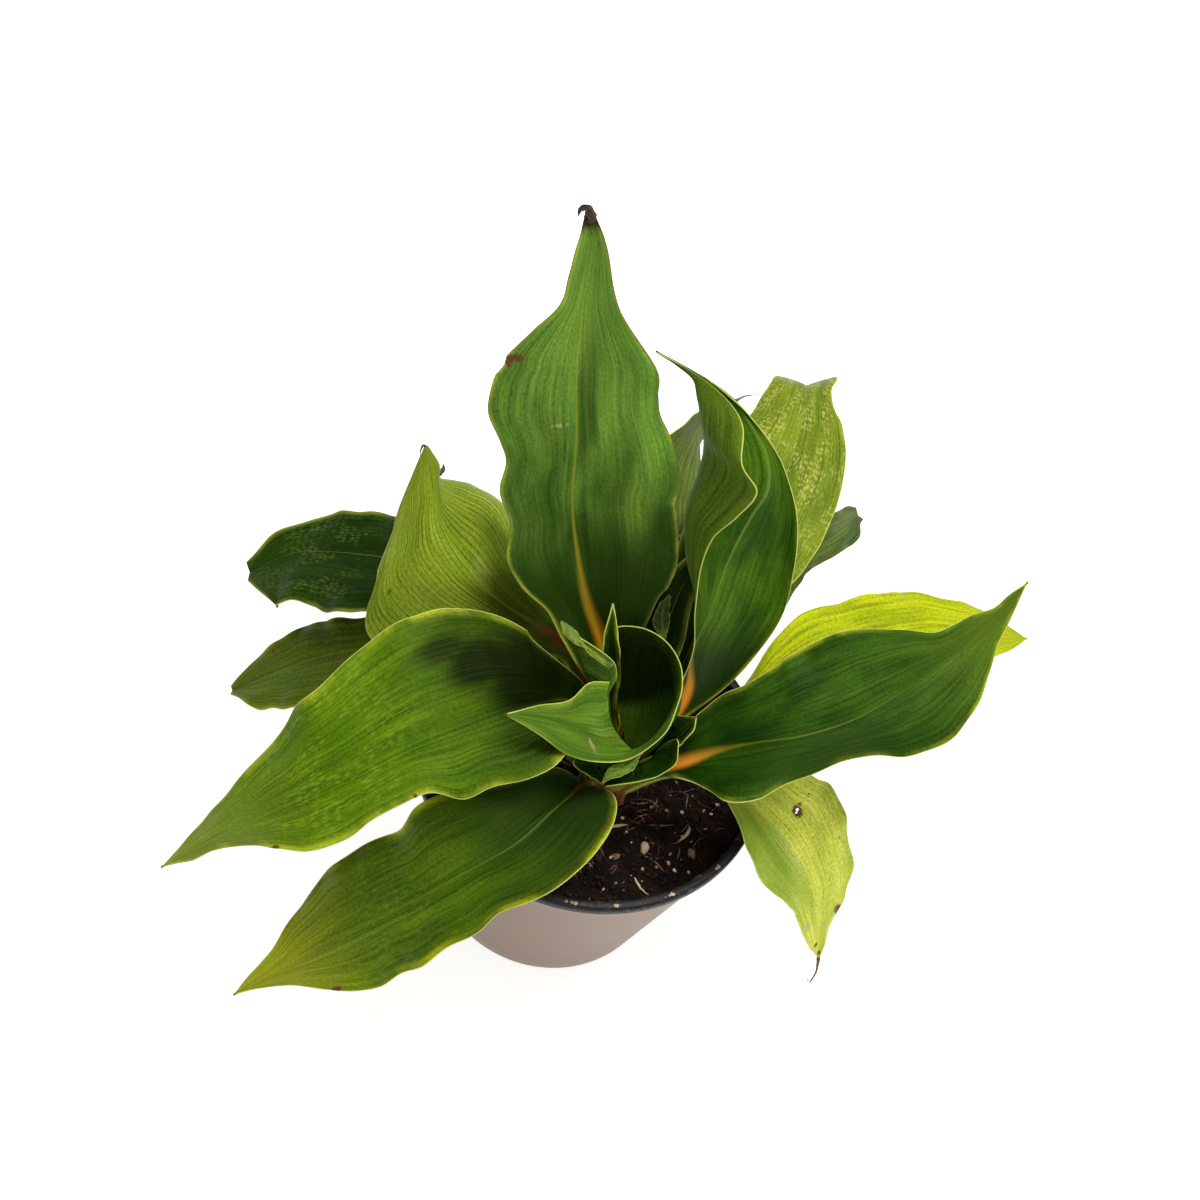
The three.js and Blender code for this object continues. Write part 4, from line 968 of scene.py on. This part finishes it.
grow_leaf(
    "leaf_left_large", "leaf_deep",
    {"Deep": (0.048, 0.117, 0.002), "Light": (0.122, 0.216, 0.004), "Yellow": (0.413, 0.479, 0.027),
     "Dash": (0.231, 0.361, 0.016), "Base Shade": (0.001, 0.003, 0.0), "Base Shade Reach": 0.46, "Base Shade Depth": 0.55,
     "Dashes": 0.6, "Dash From": 0.3, "Painted Tip Light": 0.85, "Tip Glow": 0.35, "Edge Glow": 4.5,
     "Rib": (0.018, 0.04, 0.002), "Rib Strength": 0.6, "Orange Reach": 0.1},
    stalk=0.14,
    # Painted shadow: the shade marks and the dark base are the shadow that the leaves above cast on this blade's
    # upper base.
    marks=[
        ("shade", 0.13, 0.35, 13, 15), ("shade", 0.21, 0.50, 10, 7), ("shade", 0.27, 0.64, 9, 4, 0.8),
        ("scar", 0.673, -0.98, 1.4, 0.8), ("scar", 0.419, -0.97, 0.7, 0.7),
    ],
    midrib=[[2, -13, 98], [-4, -13, 118], [-12, -12, 129], [-21, -20, 134], [-29, -29, 138], [-39, -41, 141],
            [-50, -52, 141], [-68, -68, 132], [-89, -77, 110], [-115, -82, 72]],
    face=[[-0.4, -0.2, 0.9], [-0.1, -0.3, 0.95], [0, -0.3, 0.95], [-0.3, -0.4, 0.85]],
    left=[4, 11, 17, 22, 22, 19, 19.5, 14.5, 13.5, 13.5, 15, 14.5, 10.5, 6.5, 4, 2.5, 3, 1.5, 0],
    right=[4, 9, 21, 30, 34.5, 36, 36, 33.5, 30, 27, 25.5, 21, 18, 13.5, 10, 8, 5.5, 2.5, 0],
    bend=[[45, 55, 45, 55], [0, -12, 16, 8], [0, -12, 10, -4], [4, -8, 10, -4], [26, 18, 26, 18]],
    wave=[1.6, 4, 0.6, 0.2],
)

grow_leaf(
    "leaf_front_left", "leaf_deep",
    {"Deep": (0.034, 0.08, 0.003), "Light": (0.098, 0.168, 0.005), "Yellow": (0.434, 0.445, 0.01),
     "Dash": (0.195, 0.287, 0.016), "Base Shade": (0.009, 0.027, 0.002), "Base Shade Reach": 0.4, "Dashes": 0.4,
     "Dash From": 0.35, "Painted Tip Light": 0.8, "Tip Glow": 0.85, "Edge Glow": 4.0, "Rib": (0.175, 0.254, 0.027),
     "Rib Strength": 0.4, "Orange Reach": 0.1},
    stalk=0.13,
    # Painted shade: a darker base and a shaded place near it, under the leaf above.
    marks=[("shade", 0.20, 0.40, 18, 9, 0.5), ("scar", 0.713, -0.98, 2.0, 1.0)],
    midrib=[[4, -15, 92], [2, -23, 103], [-1, -32, 111.5], [-6, -45, 119], [-13, -59, 119], [-25, -71, 113],
            [-36, -79, 102], [-57, -91, 78], [-82, -103, 45]],
    face=[[-0.3, -0.6, 0.8], [-0.2, -0.4, 0.9], [-0.3, -0.4, 0.9], [-0.4, -0.5, 0.75]],
    left=[4, 15, 19.5, 21, 20, 18, 16, 18, 17.5, 19.5, 18, 18.5, 17, 13.5, 9.5, 6, 3.5, 1.5, 0],
    right=[4, 9.5, 12, 16, 20.5, 22, 23.5, 24, 21.5, 22.5, 22.5, 21.5, 20.5, 17, 13.5, 8, 5, 3, 0],
    bend=[[34, 42, 50, 62], [16, 8, 20, 10], [10, -6, 10, -6], [10, -4, 10, -4], [26, 18, 26, 18]],
    wave=[1.6, 4, 0.3, 0.8],
)

grow_leaf(
    "leaf_right_large", "leaf_deep",
    {"Deep": (0.006, 0.03, 0.001), "Light": (0.04, 0.107, 0.005), "Yellow": (0.305, 0.352, 0.021),
     "Patches": 0.7, "Painted Tip Light": 0.65, "Tip Glow": 0.2, "Rib": (0.262, 0.262, 0.021), "Rib Strength": 0.3,
     "Orange": (1.0, 0.361, 0.032), "Orange Reach": 0.24, "Orange Width": 3.6,
     "Base Shade": (0.005, 0.023, 0.001), "Base Shade Reach": 0.12},
    stalk=0.12,
    # Painted shade: the shade marks darken its lower half and its base, where it lies in shade.
    marks=[("shade", 0.32, 0.62, 30, 8, 0.6), ("shade", 0.16, -0.70, 8, 8, 0.5)],
    midrib=[[14.3, -12, 96], [21, -12, 105.5], [29, -11.5, 116.5], [37, -9, 125.5], [47, -7, 134],
            [59, -3, 139], [71, 5, 142], [80, 14, 144], [91, 28, 146], [106, 49, 152], [117, 71, 158]],
    face=[[0.3, -0.2, 0.9], [0, -0.3, 0.95], [0.1, -0.4, 0.9], [-0.1, -0.6, 0.8]],
    left=[4, 8.5, 13, 17, 18.5, 22.5, 25, 26.5, 27, 26.5, 24.5, 21.5, 16.5, 10, 8, 6.5, 3, 2, 0],
    right=[4, 8, 15, 19.5, 18.5, 14, 12, 11, 13, 17.5, 19.5, 21, 19, 16, 11.5, 6.5, 4, 2, 0],
    bend=[[8, 10, 45, 55], [10, 2, 12, 2], [8, -6, 8, -8], [10, -4, 10, -4], [26, 18, 26, 18]],
    wave=[1.4, 4, 0.2, 0.5],
)

grow_leaf(
    "leaf_right_under", "leaf_yellowing",
    {"Deep": (0.223, 0.305, 0.004), "Light": (0.352, 0.429, 0.006), "Yellow": (0.479, 0.527, 0.007),
     "Yellowing": 0.9},
    stalk=0.26,
    midrib=[[13.5, -7, 87], [23, 3, 98], [36, 14, 104], [47, 28, 109], [62, 42, 113], [81, 57, 113],
            [108, 80, 105], [143, 108, 88]],
    face=[[0, -0.2, 1], [0, -0.1, 1], [0, -0.2, 1], [0.1, -0.2, 1]],
    left=[4, 8, 12.5, 16, 19, 20.5, 20, 21, 21, 21, 21, 20.5, 17.5, 15, 13.5, 11, 7.5, 3.5, 0],
    right=[4, 8, 11.5, 14.5, 16.5, 17.5, 18.5, 19, 18.5, 18, 17, 15.5, 13.5, 11, 9, 7, 5.5, 3, 0],
    wave=[1.4, 3.5, 0.7, 0.3],
)

grow_leaf(
    "leaf_right_drooping", "leaf_yellowing",
    {"Deep": (0.238, 0.352, 0.014), "Light": (0.402, 0.515, 0.032), "Yellow": (0.644, 0.658, 0.089),
     "Base Shade": (0.15, 0.27, 0.021), "Base Shade Depth": 0.0, "Yellowing": 0.9, "Stripes": 0.13,
     "Dash": (0.527, 0.617, 0.181), "Dry Tip": 0.97, "Brown": 0.3},
    stalk=0.25,
    detail=(300, 34),
    holes=[(0.317, -0.42, 1.0, 0.55)],
    # The shade mark here lays this leaf's own greener half in its Base Shade green, not shade; the light mark
    # beside the midrib is a painted sheen.
    marks=[
        ("scar", 0.317, -0.42, 2.3, 1.6), ("scar", 0.302, -0.54, 0.8, 1.1, 0.7),
        ("scar", 0.300, -0.70, 0.9, 0.9, 0.6), ("scar", 0.350, -0.19, 0.7, 0.7, 0.6),
        ("scar", 0.508, -0.80, 0.8, 0.8, 0.6), ("scar", 0.783, -0.80, 2.4, 1.5, 0.8),
        ("scar", 0.90, 0.30, 0.9, 0.9), ("scar", 0.955, 0.0, 0.9, 0.9), ("fleck", 0.775, 0.55, 2.0, 1.5),
        ("scar", 0.86, 0.15, 9, 4, 0.28), ("scar", 0.80, -0.90, 5, 0.8, 0.5),
        ("shade", 0.34, 0.60, 26, 8, 0.7), ("light", 0.42, 0.03, 10, 3, 0.5),
    ],
    midrib=[[14, -12.5, 89], [25, -7.5, 99.5], [36, -4, 102], [53, -8, 101], [65, -12, 96], [79, -16, 84],
            [90, -20, 66], [99, -25, 46]],
    face=[[0, -0.2, 1], [0, -0.2, 1], [0.3, -0.4, 0.85], [0.6, -0.5, 0.6]],
    left=[4, 8.5, 13, 17, 20, 22, 25, 24.5, 23.5, 21.5, 20.5, 20.5, 18.5, 13.5, 11.5, 6.5, 4, 2, 0],
    right=[4, 5.5, 7, 9, 11, 13, 14.5, 15, 14, 13, 11, 9.5, 7.5, 7, 7, 6, 4.5, 2, 0],
    wave=[1, 4, 0.4, 0],
)

grow_leaf(
    "leaf_left_outer", "leaf_shaded",
    {"Deep": (0.006, 0.021, 0.002), "Light": (0.019, 0.054, 0.003), "Yellow": (0.305, 0.342, 0.032),
     "Dash": (0.138, 0.202, 0.03), "Painted Tip Light": 0.6, "Dashes": 0.5, "Dash From": 0.45, "Dash Size": 0.7,
     "Edge Glow": 3.0},
    stalk=0.33,
    # Painted shade: the shade mark darkens the middle of the blade, where it lies in shade.
    marks=[("shade", 0.55, 0.1, 26, 9, 0.6)],
    midrib=[[2, -8, 93], [-20, 10, 104], [-45, 27, 112], [-67, 32, 110], [-85, 34, 106], [-106, 35, 97],
            [-120, 35, 88], [-132, 29, 78]],
    face=[[0, -0.2, 1], [0, -0.2, 1], [0, -0.1, 1], [-0.3, -0.2, 0.9]],
    left=[4, 7.5, 10.5, 13.5, 16, 17.5, 19, 21, 23, 25, 26, 25, 22.5, 21.5, 23.5, 24, 22.5, 15.5, 5],
    right=[4, 7.5, 10.5, 13, 14.5, 15.5, 16.5, 17, 17, 17, 18.5, 17.5, 16.5, 16, 13.5, 11, 9, 6, 4],
    wave=[1.4, 4, 0.1, 0.6],
)

grow_leaf(
    "leaf_left_low", "leaf_shaded",
    {"Deep": (0.048, 0.089, 0.001), "Light": (0.093, 0.138, 0.002), "Yellow": (0.305, 0.342, 0.025),
     "Dash": (0.162, 0.209, 0.016), "Painted Tip Light": 0.5, "Dashes": 0.3, "Dash Size": 0.7},
    stalk=0.33,
    marks=[("scar", 0.785, 0.74, 0.8, 0.8)],
    midrib=[[2, -10, 88], [-20, -3, 98], [-42, 3, 102], [-62, 6, 99], [-80, 6, 92], [-97, 4, 80], [-111, 1, 66],
            [-125, -2, 50]],
    face=[[0, -0.2, 1], [0, -0.2, 1], [-0.2, -0.2, 0.95], [-0.5, -0.3, 0.8]],
    left=[4, 7.5, 10.5, 13, 15, 16.5, 18, 19, 19.5, 20, 19.5, 18.5, 17, 16.5, 14, 13.5, 10, 5.5, 2],
    right=[4, 7, 9.5, 11, 12.5, 13, 13, 13, 12, 12.5, 13, 14, 14, 12, 11, 9.5, 7, 4.5, 2],
    wave=[1.2, 4, 0.5, 0.2],
)

grow_leaf(
    "leaf_young_spear", "leaf_bright",
    # Painted shade: the lower stalk and blade are darkened nearly to black and left without the pale margin, where
    # the spear stands in the shade of the heart.
    {"Deep": (0.013, 0.045, 0.002), "Light": (0.08, 0.162, 0.01), "Base Shade": (0.001, 0.004, 0.0),
     "Base Shade Reach": 0.9, "Margin Width": 0.24, "Margin From": 0.6, "Orange Width": 0.2, "Orange Reach": 0.02},
    stalk=0.2,
    midrib=[[6.6, -7.2, 104.6], [2.6, -6, 118], [-2, -2.8, 132], [-6.2, 2, 145], [-9, 7, 159]],
    face=[[0.3, -0.5, 0.6], [0.3, -0.7, 0.6]],
    left=[1.6, 1.8, 2.2, 3, 4, 5, 5.2, 4.6, 3.4, 1.8, 0],
    right=[1.6, 1.8, 2.2, 3, 4, 4.6, 4.8, 4.4, 3.2, 1.8, 0],
    bend=[[20, 30, 20, 30], [45, 60, 45, 60], [45, 58, 45, 58]],
    wave=[0, 1, 0, 0],
)

grow_leaf(
    "leaf_young_right", "leaf_bright",
    # Painted shade: its greens are painted near black for the deep shade in the heart.
    {"Deep": (0.006, 0.023, 0.002), "Light": (0.014, 0.048, 0.003), "Base Shade Reach": 0.05, "Margin Width": 0.26},
    stalk=0.15,
    midrib=[[15.5, -8.3, 101], [19.8, -8, 110], [23.5, -7.2, 119], [26, -5, 125], [27.5, -2, 129]],
    face=[[-0.6, 0, 0.6], [-0.5, -0.2, 0.8]],
    left=[2.4, 2.6, 3.5, 5, 6.5, 8, 8.5, 8, 6.5, 4, 0],
    right=[2.6, 2.6, 2.8, 3, 3.2, 3.6, 4, 4, 3.6, 2.6, 0],
    bend=[[50, 70, 50, 70], [15, 30, 20, 40], [5, 10, 10, 20]],
    wave=[0, 1, 0, 0],
)

grow_leaf(
    "leaf_back_rolled", "leaf_bright",
    {"Deep": (0.016, 0.061, 0.001), "Light": (0.08, 0.168, 0.005), "Yellow": (0.287, 0.352, 0.016),
     "Under": (0.068, 0.117, 0.007), "Orange Reach": 0.18, "Orange": (0.807, 0.262, 0.012),
     "Orange Width": 3.2},
    stalk=0.12,
    stations=[
        [[10.7, -5.6, 101.2], [11.9, -5.8, 100.6], [13, -6, 100], [14.1, -6.2, 99.4], [15.3, -6.4, 98.8]],
        [[17.5, 5, 111], [18.5, 5, 109.7], [20, 5, 109], [21.5, 4.7, 108.6], [22.5, 4.3, 108.6]],
        [[20, 11, 123], [21, 12, 121], [23, 13, 119], [29, 17.5, 117], [35, 20, 118]],
        [[20, 15, 139], [19.5, 17, 136], [20, 18, 133], [31, 26, 131], [41, 29, 130]],
        [[16, 20, 152], [16.5, 24, 149.5], [21, 26, 146], [34, 35, 143], [44, 37, 143]],
        [[13, 25, 166], [8, 31, 164], [21, 36.5, 160], [33, 44, 157], [42, 44, 157]],
        [[13, 26, 180], [3, 37, 178], [23, 45.5, 172], [32, 51, 169], [38, 51, 170]],
        [[17, 27, 191], [3, 42, 189], [25, 51, 181], [29, 55, 180], [31, 56, 181]],
        [[20, 30, 201], [1, 46, 197], [21, 56, 190], [23, 58, 189], [24, 58, 189]],
        [[13, 32, 208], [-2, 48, 203], [14, 58, 197], [16, 59, 196], [17, 59, 196]],
        [[10, 42, 212], [-5, 51, 208], [6, 60, 203], [8, 60, 202], [8, 59, 203]],
        [[4, 50, 212], [-8, 55, 211], [-2, 60, 207], [-1, 60.5, 206.5], [-1, 60, 207]],
        [[-9, 56, 213], [-14, 57.5, 212], [-11, 59, 211], [-10, 59.5, 210], [-11, 59.5, 210]],
        [[-20.6, 58.6, 213.2], [-20.8, 58.8, 213], [-21, 59, 213], [-21.2, 59.2, 213], [-21.4, 59.4, 212.8]],
    ],
)

grow_leaf(
    "leaf_left_twisted", "leaf_bright",
    {"Deep": (0.127, 0.223, 0.006), "Light": (0.254, 0.352, 0.018), "Yellow": (0.491, 0.515, 0.061),
     "Stripes": 0.2, "Lines": 0.15, "Dark Veins": 0.75, "Dash": (0.61, 0.617, 0.202),
     "Base Shade": (0.013, 0.025, 0.001), "Yellowing": 0.25, "Orange": (0.188, 0.032, 0.01), "Base Shade Reach": 0.1},
    stalk=0.25,
    tears=[(-1, 0.62, 0.05, 0.08), (-1, 0.77, 0.05, 0.08), (-1, 0.89, 0.04, 0.10)],
    # Painted shade and light: the shade marks darken the lower blade in the shade of the upright leaf, and the
    # light mark is a small painted lit spot.
    marks=[
        ("shade", 0.17, 0.10, 14, 11, 0.8), ("shade", 0.28, 0.36, 8, 5, 0.5),
        ("light", 0.317, 0.05, 3.4, 1.8, 0.45), ("scar", 0.475, -0.66, 0.7, 2.2, 0.7),
    ],
    stations=[
        [[1, -8, 99], [1.5, -7, 98], [2.5, -6, 98], [3, -5, 98], [3.5, -4, 99]],
        [[-8, 0, 112], [-7, 1.5, 111], [-6, 3, 110.5], [-5, 4.5, 111], [-4, 6, 112]],
        [[-18, 7, 121], [-17, 9, 121], [-15, 11, 121], [-14, 13, 122], [-13, 15, 123]],
        [[-30, 3, 121], [-29, 8, 125], [-28, 12, 127], [-26, 18, 129], [-24, 23, 130]],
        [[-50, -3, 117], [-46, 5, 128], [-41, 12, 133], [-40, 26, 136], [-38, 36, 130]],
        [[-68, -7, 113], [-61, 4, 130], [-52, 13, 139], [-54, 39, 142.5], [-52, 49.5, 130.5]],
        [[-80, -4, 118], [-73, 7, 136], [-61, 16, 145], [-64, 37, 148.7], [-64, 47.5, 138]],
        [[-82, 3, 128], [-76.5, 12, 142], [-67.5, 20, 151], [-70, 32.5, 154], [-71, 41, 147]],
        [[-82, 14, 138], [-77.5, 20, 149], [-71, 25.5, 155.5], [-72.5, 32, 157], [-74, 36.5, 152]],
        [[-81.5, 24, 150], [-79.3, 27, 157], [-74.5, 30, 161.5], [-74, 33.5, 162], [-75, 36.5, 158]],
        [[-79.4, 33.6, 168], [-79.2, 33.8, 168], [-79, 34, 168], [-78.8, 34.2, 168], [-78.6, 34.4, 168]],
    ],
)

grow_leaf(
    "leaf_young_cup", "leaf_bright",
    {"Deep": (0.058, 0.133, 0.009), "Light": (0.138, 0.238, 0.019), "Yellow": (0.262, 0.352, 0.025),
     "Under": (0.045, 0.102, 0.01), "Base Shade Depth": 0.0, "Base Shade": (0.001, 0.003, 0.0),
     "Dash": (0.216, 0.342, 0.045), "Edge Glow": 3.0, "Margin Width": 0.26, "Orange Width": 0.2,
     "Orange Reach": 0.02},
    stalk=0.08,
    # Painted shade and light: the shade marks darken the throat of the cup and its back wall, and the light mark is
    # a painted lit patch.
    marks=[
        ("shade", 0.09, -0.92, 14, 9), ("shade", 0.06, -1.0, 30, 7.5), ("shade", 0.20, -0.72, 9, 12, 0.7),
        ("shade", 0.05, -0.86, 16, 7), ("fleck", 0.715, 0.03, 0.22, 1.8), ("fleck", 0.72, -0.10, 0.22, 1.8),
        ("fleck", 0.728, -0.24, 0.22, 1.8, 0.9), ("fleck", 0.738, -0.40, 0.22, 2.0, 0.8),
        ("light", 0.62, 0.35, 8, 4, 0.35),
    ],
    stations=[
        [[11, -5, 104.8], [13, -9, 104.6], [9, -13.5, 104.6], [4, -10, 104.6], [5, -6, 104.8]],
        [[1, 2.5, 121], [19, -3.5, 118], [11, -16, 113], [1, -11, 117], [-3, -3, 122]],
        [[-7, 5, 146], [20, 1, 134], [13, -17, 120], [-1, -13, 128], [-12, -2, 146]],
        [[1, 7, 152], [20, -3, 136], [12.5, -18, 123], [-1, -15, 134], [-17, -3, 151]],
        [[10, 5, 152], [19.5, -8, 136], [12, -19.5, 126], [0, -17, 137], [-9, -5, 151]],
        [[17, -1, 150], [18, -13, 135], [11, -21, 128], [1, -18, 138], [-3, -7, 150]],
        [[19.5, -9, 145.5], [16, -18, 134], [9, -22.5, 129], [0, -19, 138], [-1, -9.5, 148]],
        [[18.5, -19, 140], [13, -22, 131.5], [6, -24.5, 130.5], [-1, -20.5, 138], [-1, -11, 146]],
        [[10, -28, 133], [5, -28.5, 132], [-1, -27, 135], [-5, -23, 140], [-8, -15, 147]],
        [[-5, -36, 138], [-6.5, -34.5, 139.5], [-9, -31, 142], [-11, -28, 144.5], [-12, -24, 148]],
        [[-17, -37, 145.5], [-18, -36, 146.5], [-18, -34.5, 147.5], [-19, -33, 149], [-20, -31, 151]],
        [[-28.4, -38, 151.6], [-28.2, -38, 152], [-28, -38, 152], [-27.8, -38, 152], [-27.6, -38, 152.3]],
    ],
)

grow_leaf(
    "leaf_young_front", "leaf_bright",
    # Painted shade: its greens are painted very dark for the shade it lies in under the cup.
    {"Deep": (0.009, 0.034, 0.002), "Light": (0.034, 0.093, 0.004), "Yellow": (0.156, 0.223, 0.01),
     "Base Shade Reach": 0.05, "Under": (0.156, 0.242, 0.032), "Margin Width": 0.26},
    stalk=0.12,
    stations=[
        [[12.5, -17.4, 98], [11.7, -17.8, 98], [11, -18, 98], [10.2, -18, 98], [9.5, -17.8, 98]],
        [[17, -14, 108], [15.5, -16.8, 107.5], [12.5, -18.3, 107], [8, -18.5, 107], [5.5, -17.5, 108]],
        [[20.5, -10, 119.5], [18.8, -13, 115.5], [13, -17.8, 113.5], [5, -18.6, 113.5], [-0.5, -18.8, 115]],
        [[24, -11.5, 127.5], [22, -15, 118.5], [14.5, -20, 114.5], [6, -21.5, 114.5], [-4.5, -24, 116.5]],
        [[25.5, -18, 123.5], [21.5, -19, 118], [14.5, -22, 115.5], [7, -24.5, 115.5], [-1, -27.5, 117.5]],
        [[19.5, -22.8, 119], [17, -23, 117.5], [12.5, -24.5, 116.5], [8, -26.5, 116.5], [3, -28.5, 118]],
        [[7, -31, 119.5], [6.8, -30.9, 119.5], [6.6, -30.8, 119.5], [6.4, -30.7, 119.5], [6.2, -30.6, 119.5]],
    ],
)


# ------------------------------------------------------- Small young blades
# Three small leaf ends in the heart: a folded pale lap under the cup, a curled
# strip on its back margin, and a narrow grey-green blade behind it.
SMALL_FINISH = {"Base Shade Depth": 0.0, "Margin Width": 0.22, "Orange": (0.10, 0.16, 0.03)}
SMALL_STALK = 0.02

grow_leaf(
    "leaf_young_lap", "leaf_bright",
    {"Deep": (0.150, 0.250, 0.030), "Light": (0.210, 0.320, 0.045), "Under": (0.150, 0.250, 0.030), **SMALL_FINISH},
    node="leaf_young_front", detail=SMALL_DETAIL, stalk=SMALL_STALK,
    stations=[
        [[14.2, -19.8, 128], [14.1, -20, 128], [14, -20.2, 128], [13.9, -20.5, 127.8], [13.8, -20.8, 127.6]],
        [[11.2, -23.6, 128.4], [11.8, -23.6, 128.3], [12.6, -23.8, 128], [13.4, -24.2, 127.6], [13.9, -24.9, 127]],
        [[8.4, -26.8, 128.4], [9.2, -27.2, 128.3], [10, -27.8, 128], [10.6, -28.6, 127.4], [11, -29.4, 126.6]],
        [[6, -29.8, 128], [6.5, -30.2, 127.8], [7, -30.6, 127.4], [7.4, -31, 126.8], [7.7, -31.6, 126]],
        [[5.6, -33, 124.4], [5.7, -33, 124.3], [5.8, -33, 124.2], [5.9, -33, 124.1], [6, -33, 124]],
    ],
)

grow_leaf(
    "leaf_young_strip", "leaf_bright",
    {"Deep": (0.080, 0.160, 0.025), "Light": (0.160, 0.260, 0.060), "Under": (0.070, 0.150, 0.025), **SMALL_FINISH},
    node="leaf_young_cup", detail=SMALL_DETAIL, stalk=SMALL_STALK,
    stations=[
        [[-3.4, -10.1, 150.4], [-3.2, -9.8, 150.8], [-3, -9.5, 151], [-2.8, -9.2, 150.8], [-2.6, -8.9, 150.4]],
        [[-8.4, -8.7, 150.6], [-8.2, -8.4, 151.2], [-8, -8, 151.5], [-7.8, -7.6, 151.2], [-7.6, -7.3, 150.6]],
        [[-12.8, -6.9, 151], [-12.7, -6.6, 151.6], [-12.5, -6.3, 151.9], [-12.3, -6, 151.6], [-12.2, -5.7, 151]],
        [[-16.8, -5.8, 151.2], [-16.4, -5.2, 152], [-16, -4.5, 152.4], [-15.6, -3.8, 152], [-15.2, -3.2, 151.2]],
        [[-20.4, -4, 151.4], [-20, -3.3, 152.3], [-19.5, -2.5, 152.8], [-19, -1.7, 152.3], [-18.6, -1, 151.4]],
        [[-22.2, -1.1, 152], [-22.1, -0.9, 152.2], [-22, -0.8, 152.3], [-21.9, -0.7, 152.2], [-21.8, -0.5, 152]],
    ],
)

grow_leaf(
    "leaf_young_sliver", "leaf_deep",
    {"Deep": (0.030, 0.062, 0.016), "Light": (0.062, 0.105, 0.034), "Under": (0.034, 0.064, 0.018), **SMALL_FINISH},
    node="leaf_back_small", detail=SMALL_DETAIL, stalk=SMALL_STALK,
    stations=[
        [[10.2, 17.6, 135], [10.3, 17.7, 135], [10.4, 17.8, 135], [10.5, 17.9, 135], [10.6, 18, 135]],
        [[5.6, 20.6, 137], [7, 20.9, 137.6], [8.2, 21.4, 138], [9.4, 21.9, 137.8], [10.4, 22.2, 137.2]],
        [[4.9, 23.2, 139], [6, 23.6, 139.8], [7.1, 24, 140.2], [8.3, 24.4, 140], [9.3, 24.6, 139.4]],
        [[5.4, 26.2, 141], [6.1, 26.5, 141.6], [6.8, 26.9, 142], [7.6, 27.2, 141.8], [8.4, 27.4, 141.2]],
        [[7.2, 29.8, 142.8], [7.3, 29.9, 142.9], [7.4, 30, 143], [7.5, 30.1, 142.9], [7.6, 30.2, 142.8]],
    ],
)


# ------------------------------------------------------------- Dried tips
# The last millimetres of some tips have dried to black, brown or grey threads
# that curl over. Each is one tapered thread grown out of its leaf.
THREAD_SIDES = 10
THREAD_STEPS = 36
THREAD_FLATNESS = 0.6
THREAD_CRIMP = 0.12
THREAD_TOP = (0.3, 0.9, 0.2)


def thread_material(name, dark, light):
    """Dry leaf fibre, streaked between two tones."""
    material, tree, shader = plain_material(name, dark, 0.7)
    streak = noise_of(tree, 1400.0, 3.0)
    tree.links.new(mix_of(tree, ramp_of(tree, streak, 0.40, 0.64), dark, light), shader.inputs["Base Color"])
    add_relief(tree, shader, streak, 0.4, 0.0003)
    return material


def dry_thread(name, points, radii, material):
    """A tapered, slightly flattened thread through points in mm, with its radii in mm."""
    shares = np.linspace(0, 1, THREAD_STEPS + 1)
    places, along = along_curve(points, shares)
    radius = np.interp(shares, np.linspace(0, 1, len(radii)), radii)
    over = unit(np.cross(along, THREAD_TOP))
    above = np.cross(over, along)
    turn = np.linspace(0, 2 * np.pi, THREAD_SIDES, endpoint=False)
    crimp = 1 + THREAD_CRIMP * np.sin(5 * turn[None, :] + np.linspace(0, 30, THREAD_STEPS + 1)[:, None])
    ring = over[:, None] * np.cos(turn)[:, None] + THREAD_FLATNESS * above[:, None] * np.sin(turn)[:, None]
    vertices = places[:, None] + ring * (radius[:, None] * crimp)[..., None]
    faces = []
    for step in range(THREAD_STEPS):
        faces += band(step * THREAD_SIDES, (step + 1) * THREAD_SIDES, THREAD_SIDES, flip=True)
    faces.append(tuple(reversed(range(THREAD_SIDES))))
    faces.append(tuple(THREAD_STEPS * THREAD_SIDES + k for k in range(THREAD_SIDES)))
    piece = add_piece(name, vertices.reshape(-1, 3) * MM, faces, material)
    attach(piece, "root")


dry_black = thread_material("dried black tip", (0.012, 0.006, 0.004, 1), (0.075, 0.030, 0.015, 1))
dry_brown = thread_material("dried brown tip", (0.11, 0.055, 0.018, 1), (0.26, 0.15, 0.05, 1))
dry_grey = thread_material("dried grey tip", (0.11, 0.10, 0.055, 1), (0.30, 0.28, 0.16, 1))
dry_thread(
    "tip_back_upright",
    [[-48.7, 52.6, 256.8], [-49.2, 53.2, 258.6], [-50, 53.6, 259.8], [-51.4, 53.7, 259.8], [-52.3, 53.2, 258.6],
     [-52.2, 52.8, 257.2]],
    [1.9, 2, 1.6, 1, 0.6, 0.2], dry_black)
dry_thread(
    "tip_left_twisted",
    [[-79, 34, 167.2], [-79.4, 33.6, 168.6], [-79.9, 33, 168.2], [-80, 32.2, 166.6], [-79.8, 31.8, 165.4]],
    [0.45, 0.4, 0.32, 0.24, 0.12], dry_black)
dry_thread(
    "curl_left_twisted",
    [[-74.8, 36, 152.6], [-73.8, 36.5, 154.4], [-72.9, 37.2, 156.4], [-73.3, 37.6, 158]],
    [0.4, 0.9, 0.8, 0.3], dry_grey)
dry_thread(
    "tip_right_drooping",
    [[98.6, -24.6, 47], [99.2, -26.2, 45], [99.6, -28.2, 43], [99, -30.6, 40], [98.2, -31, 39.9],
     [97.5, -30.4, 40.8]],
    [0.8, 0.55, 0.38, 0.3, 0.25, 0.12], dry_brown)
dry_thread(
    "tip_far_middle",
    [[6.4, 122.5, 134.4], [8.6, 126, 136.4], [12, 129.6, 138], [14.8, 131.4, 138.3], [17, 133.4, 138]],
    [1.2, 1.1, 0.6, 0.3, 0.15], dry_grey)
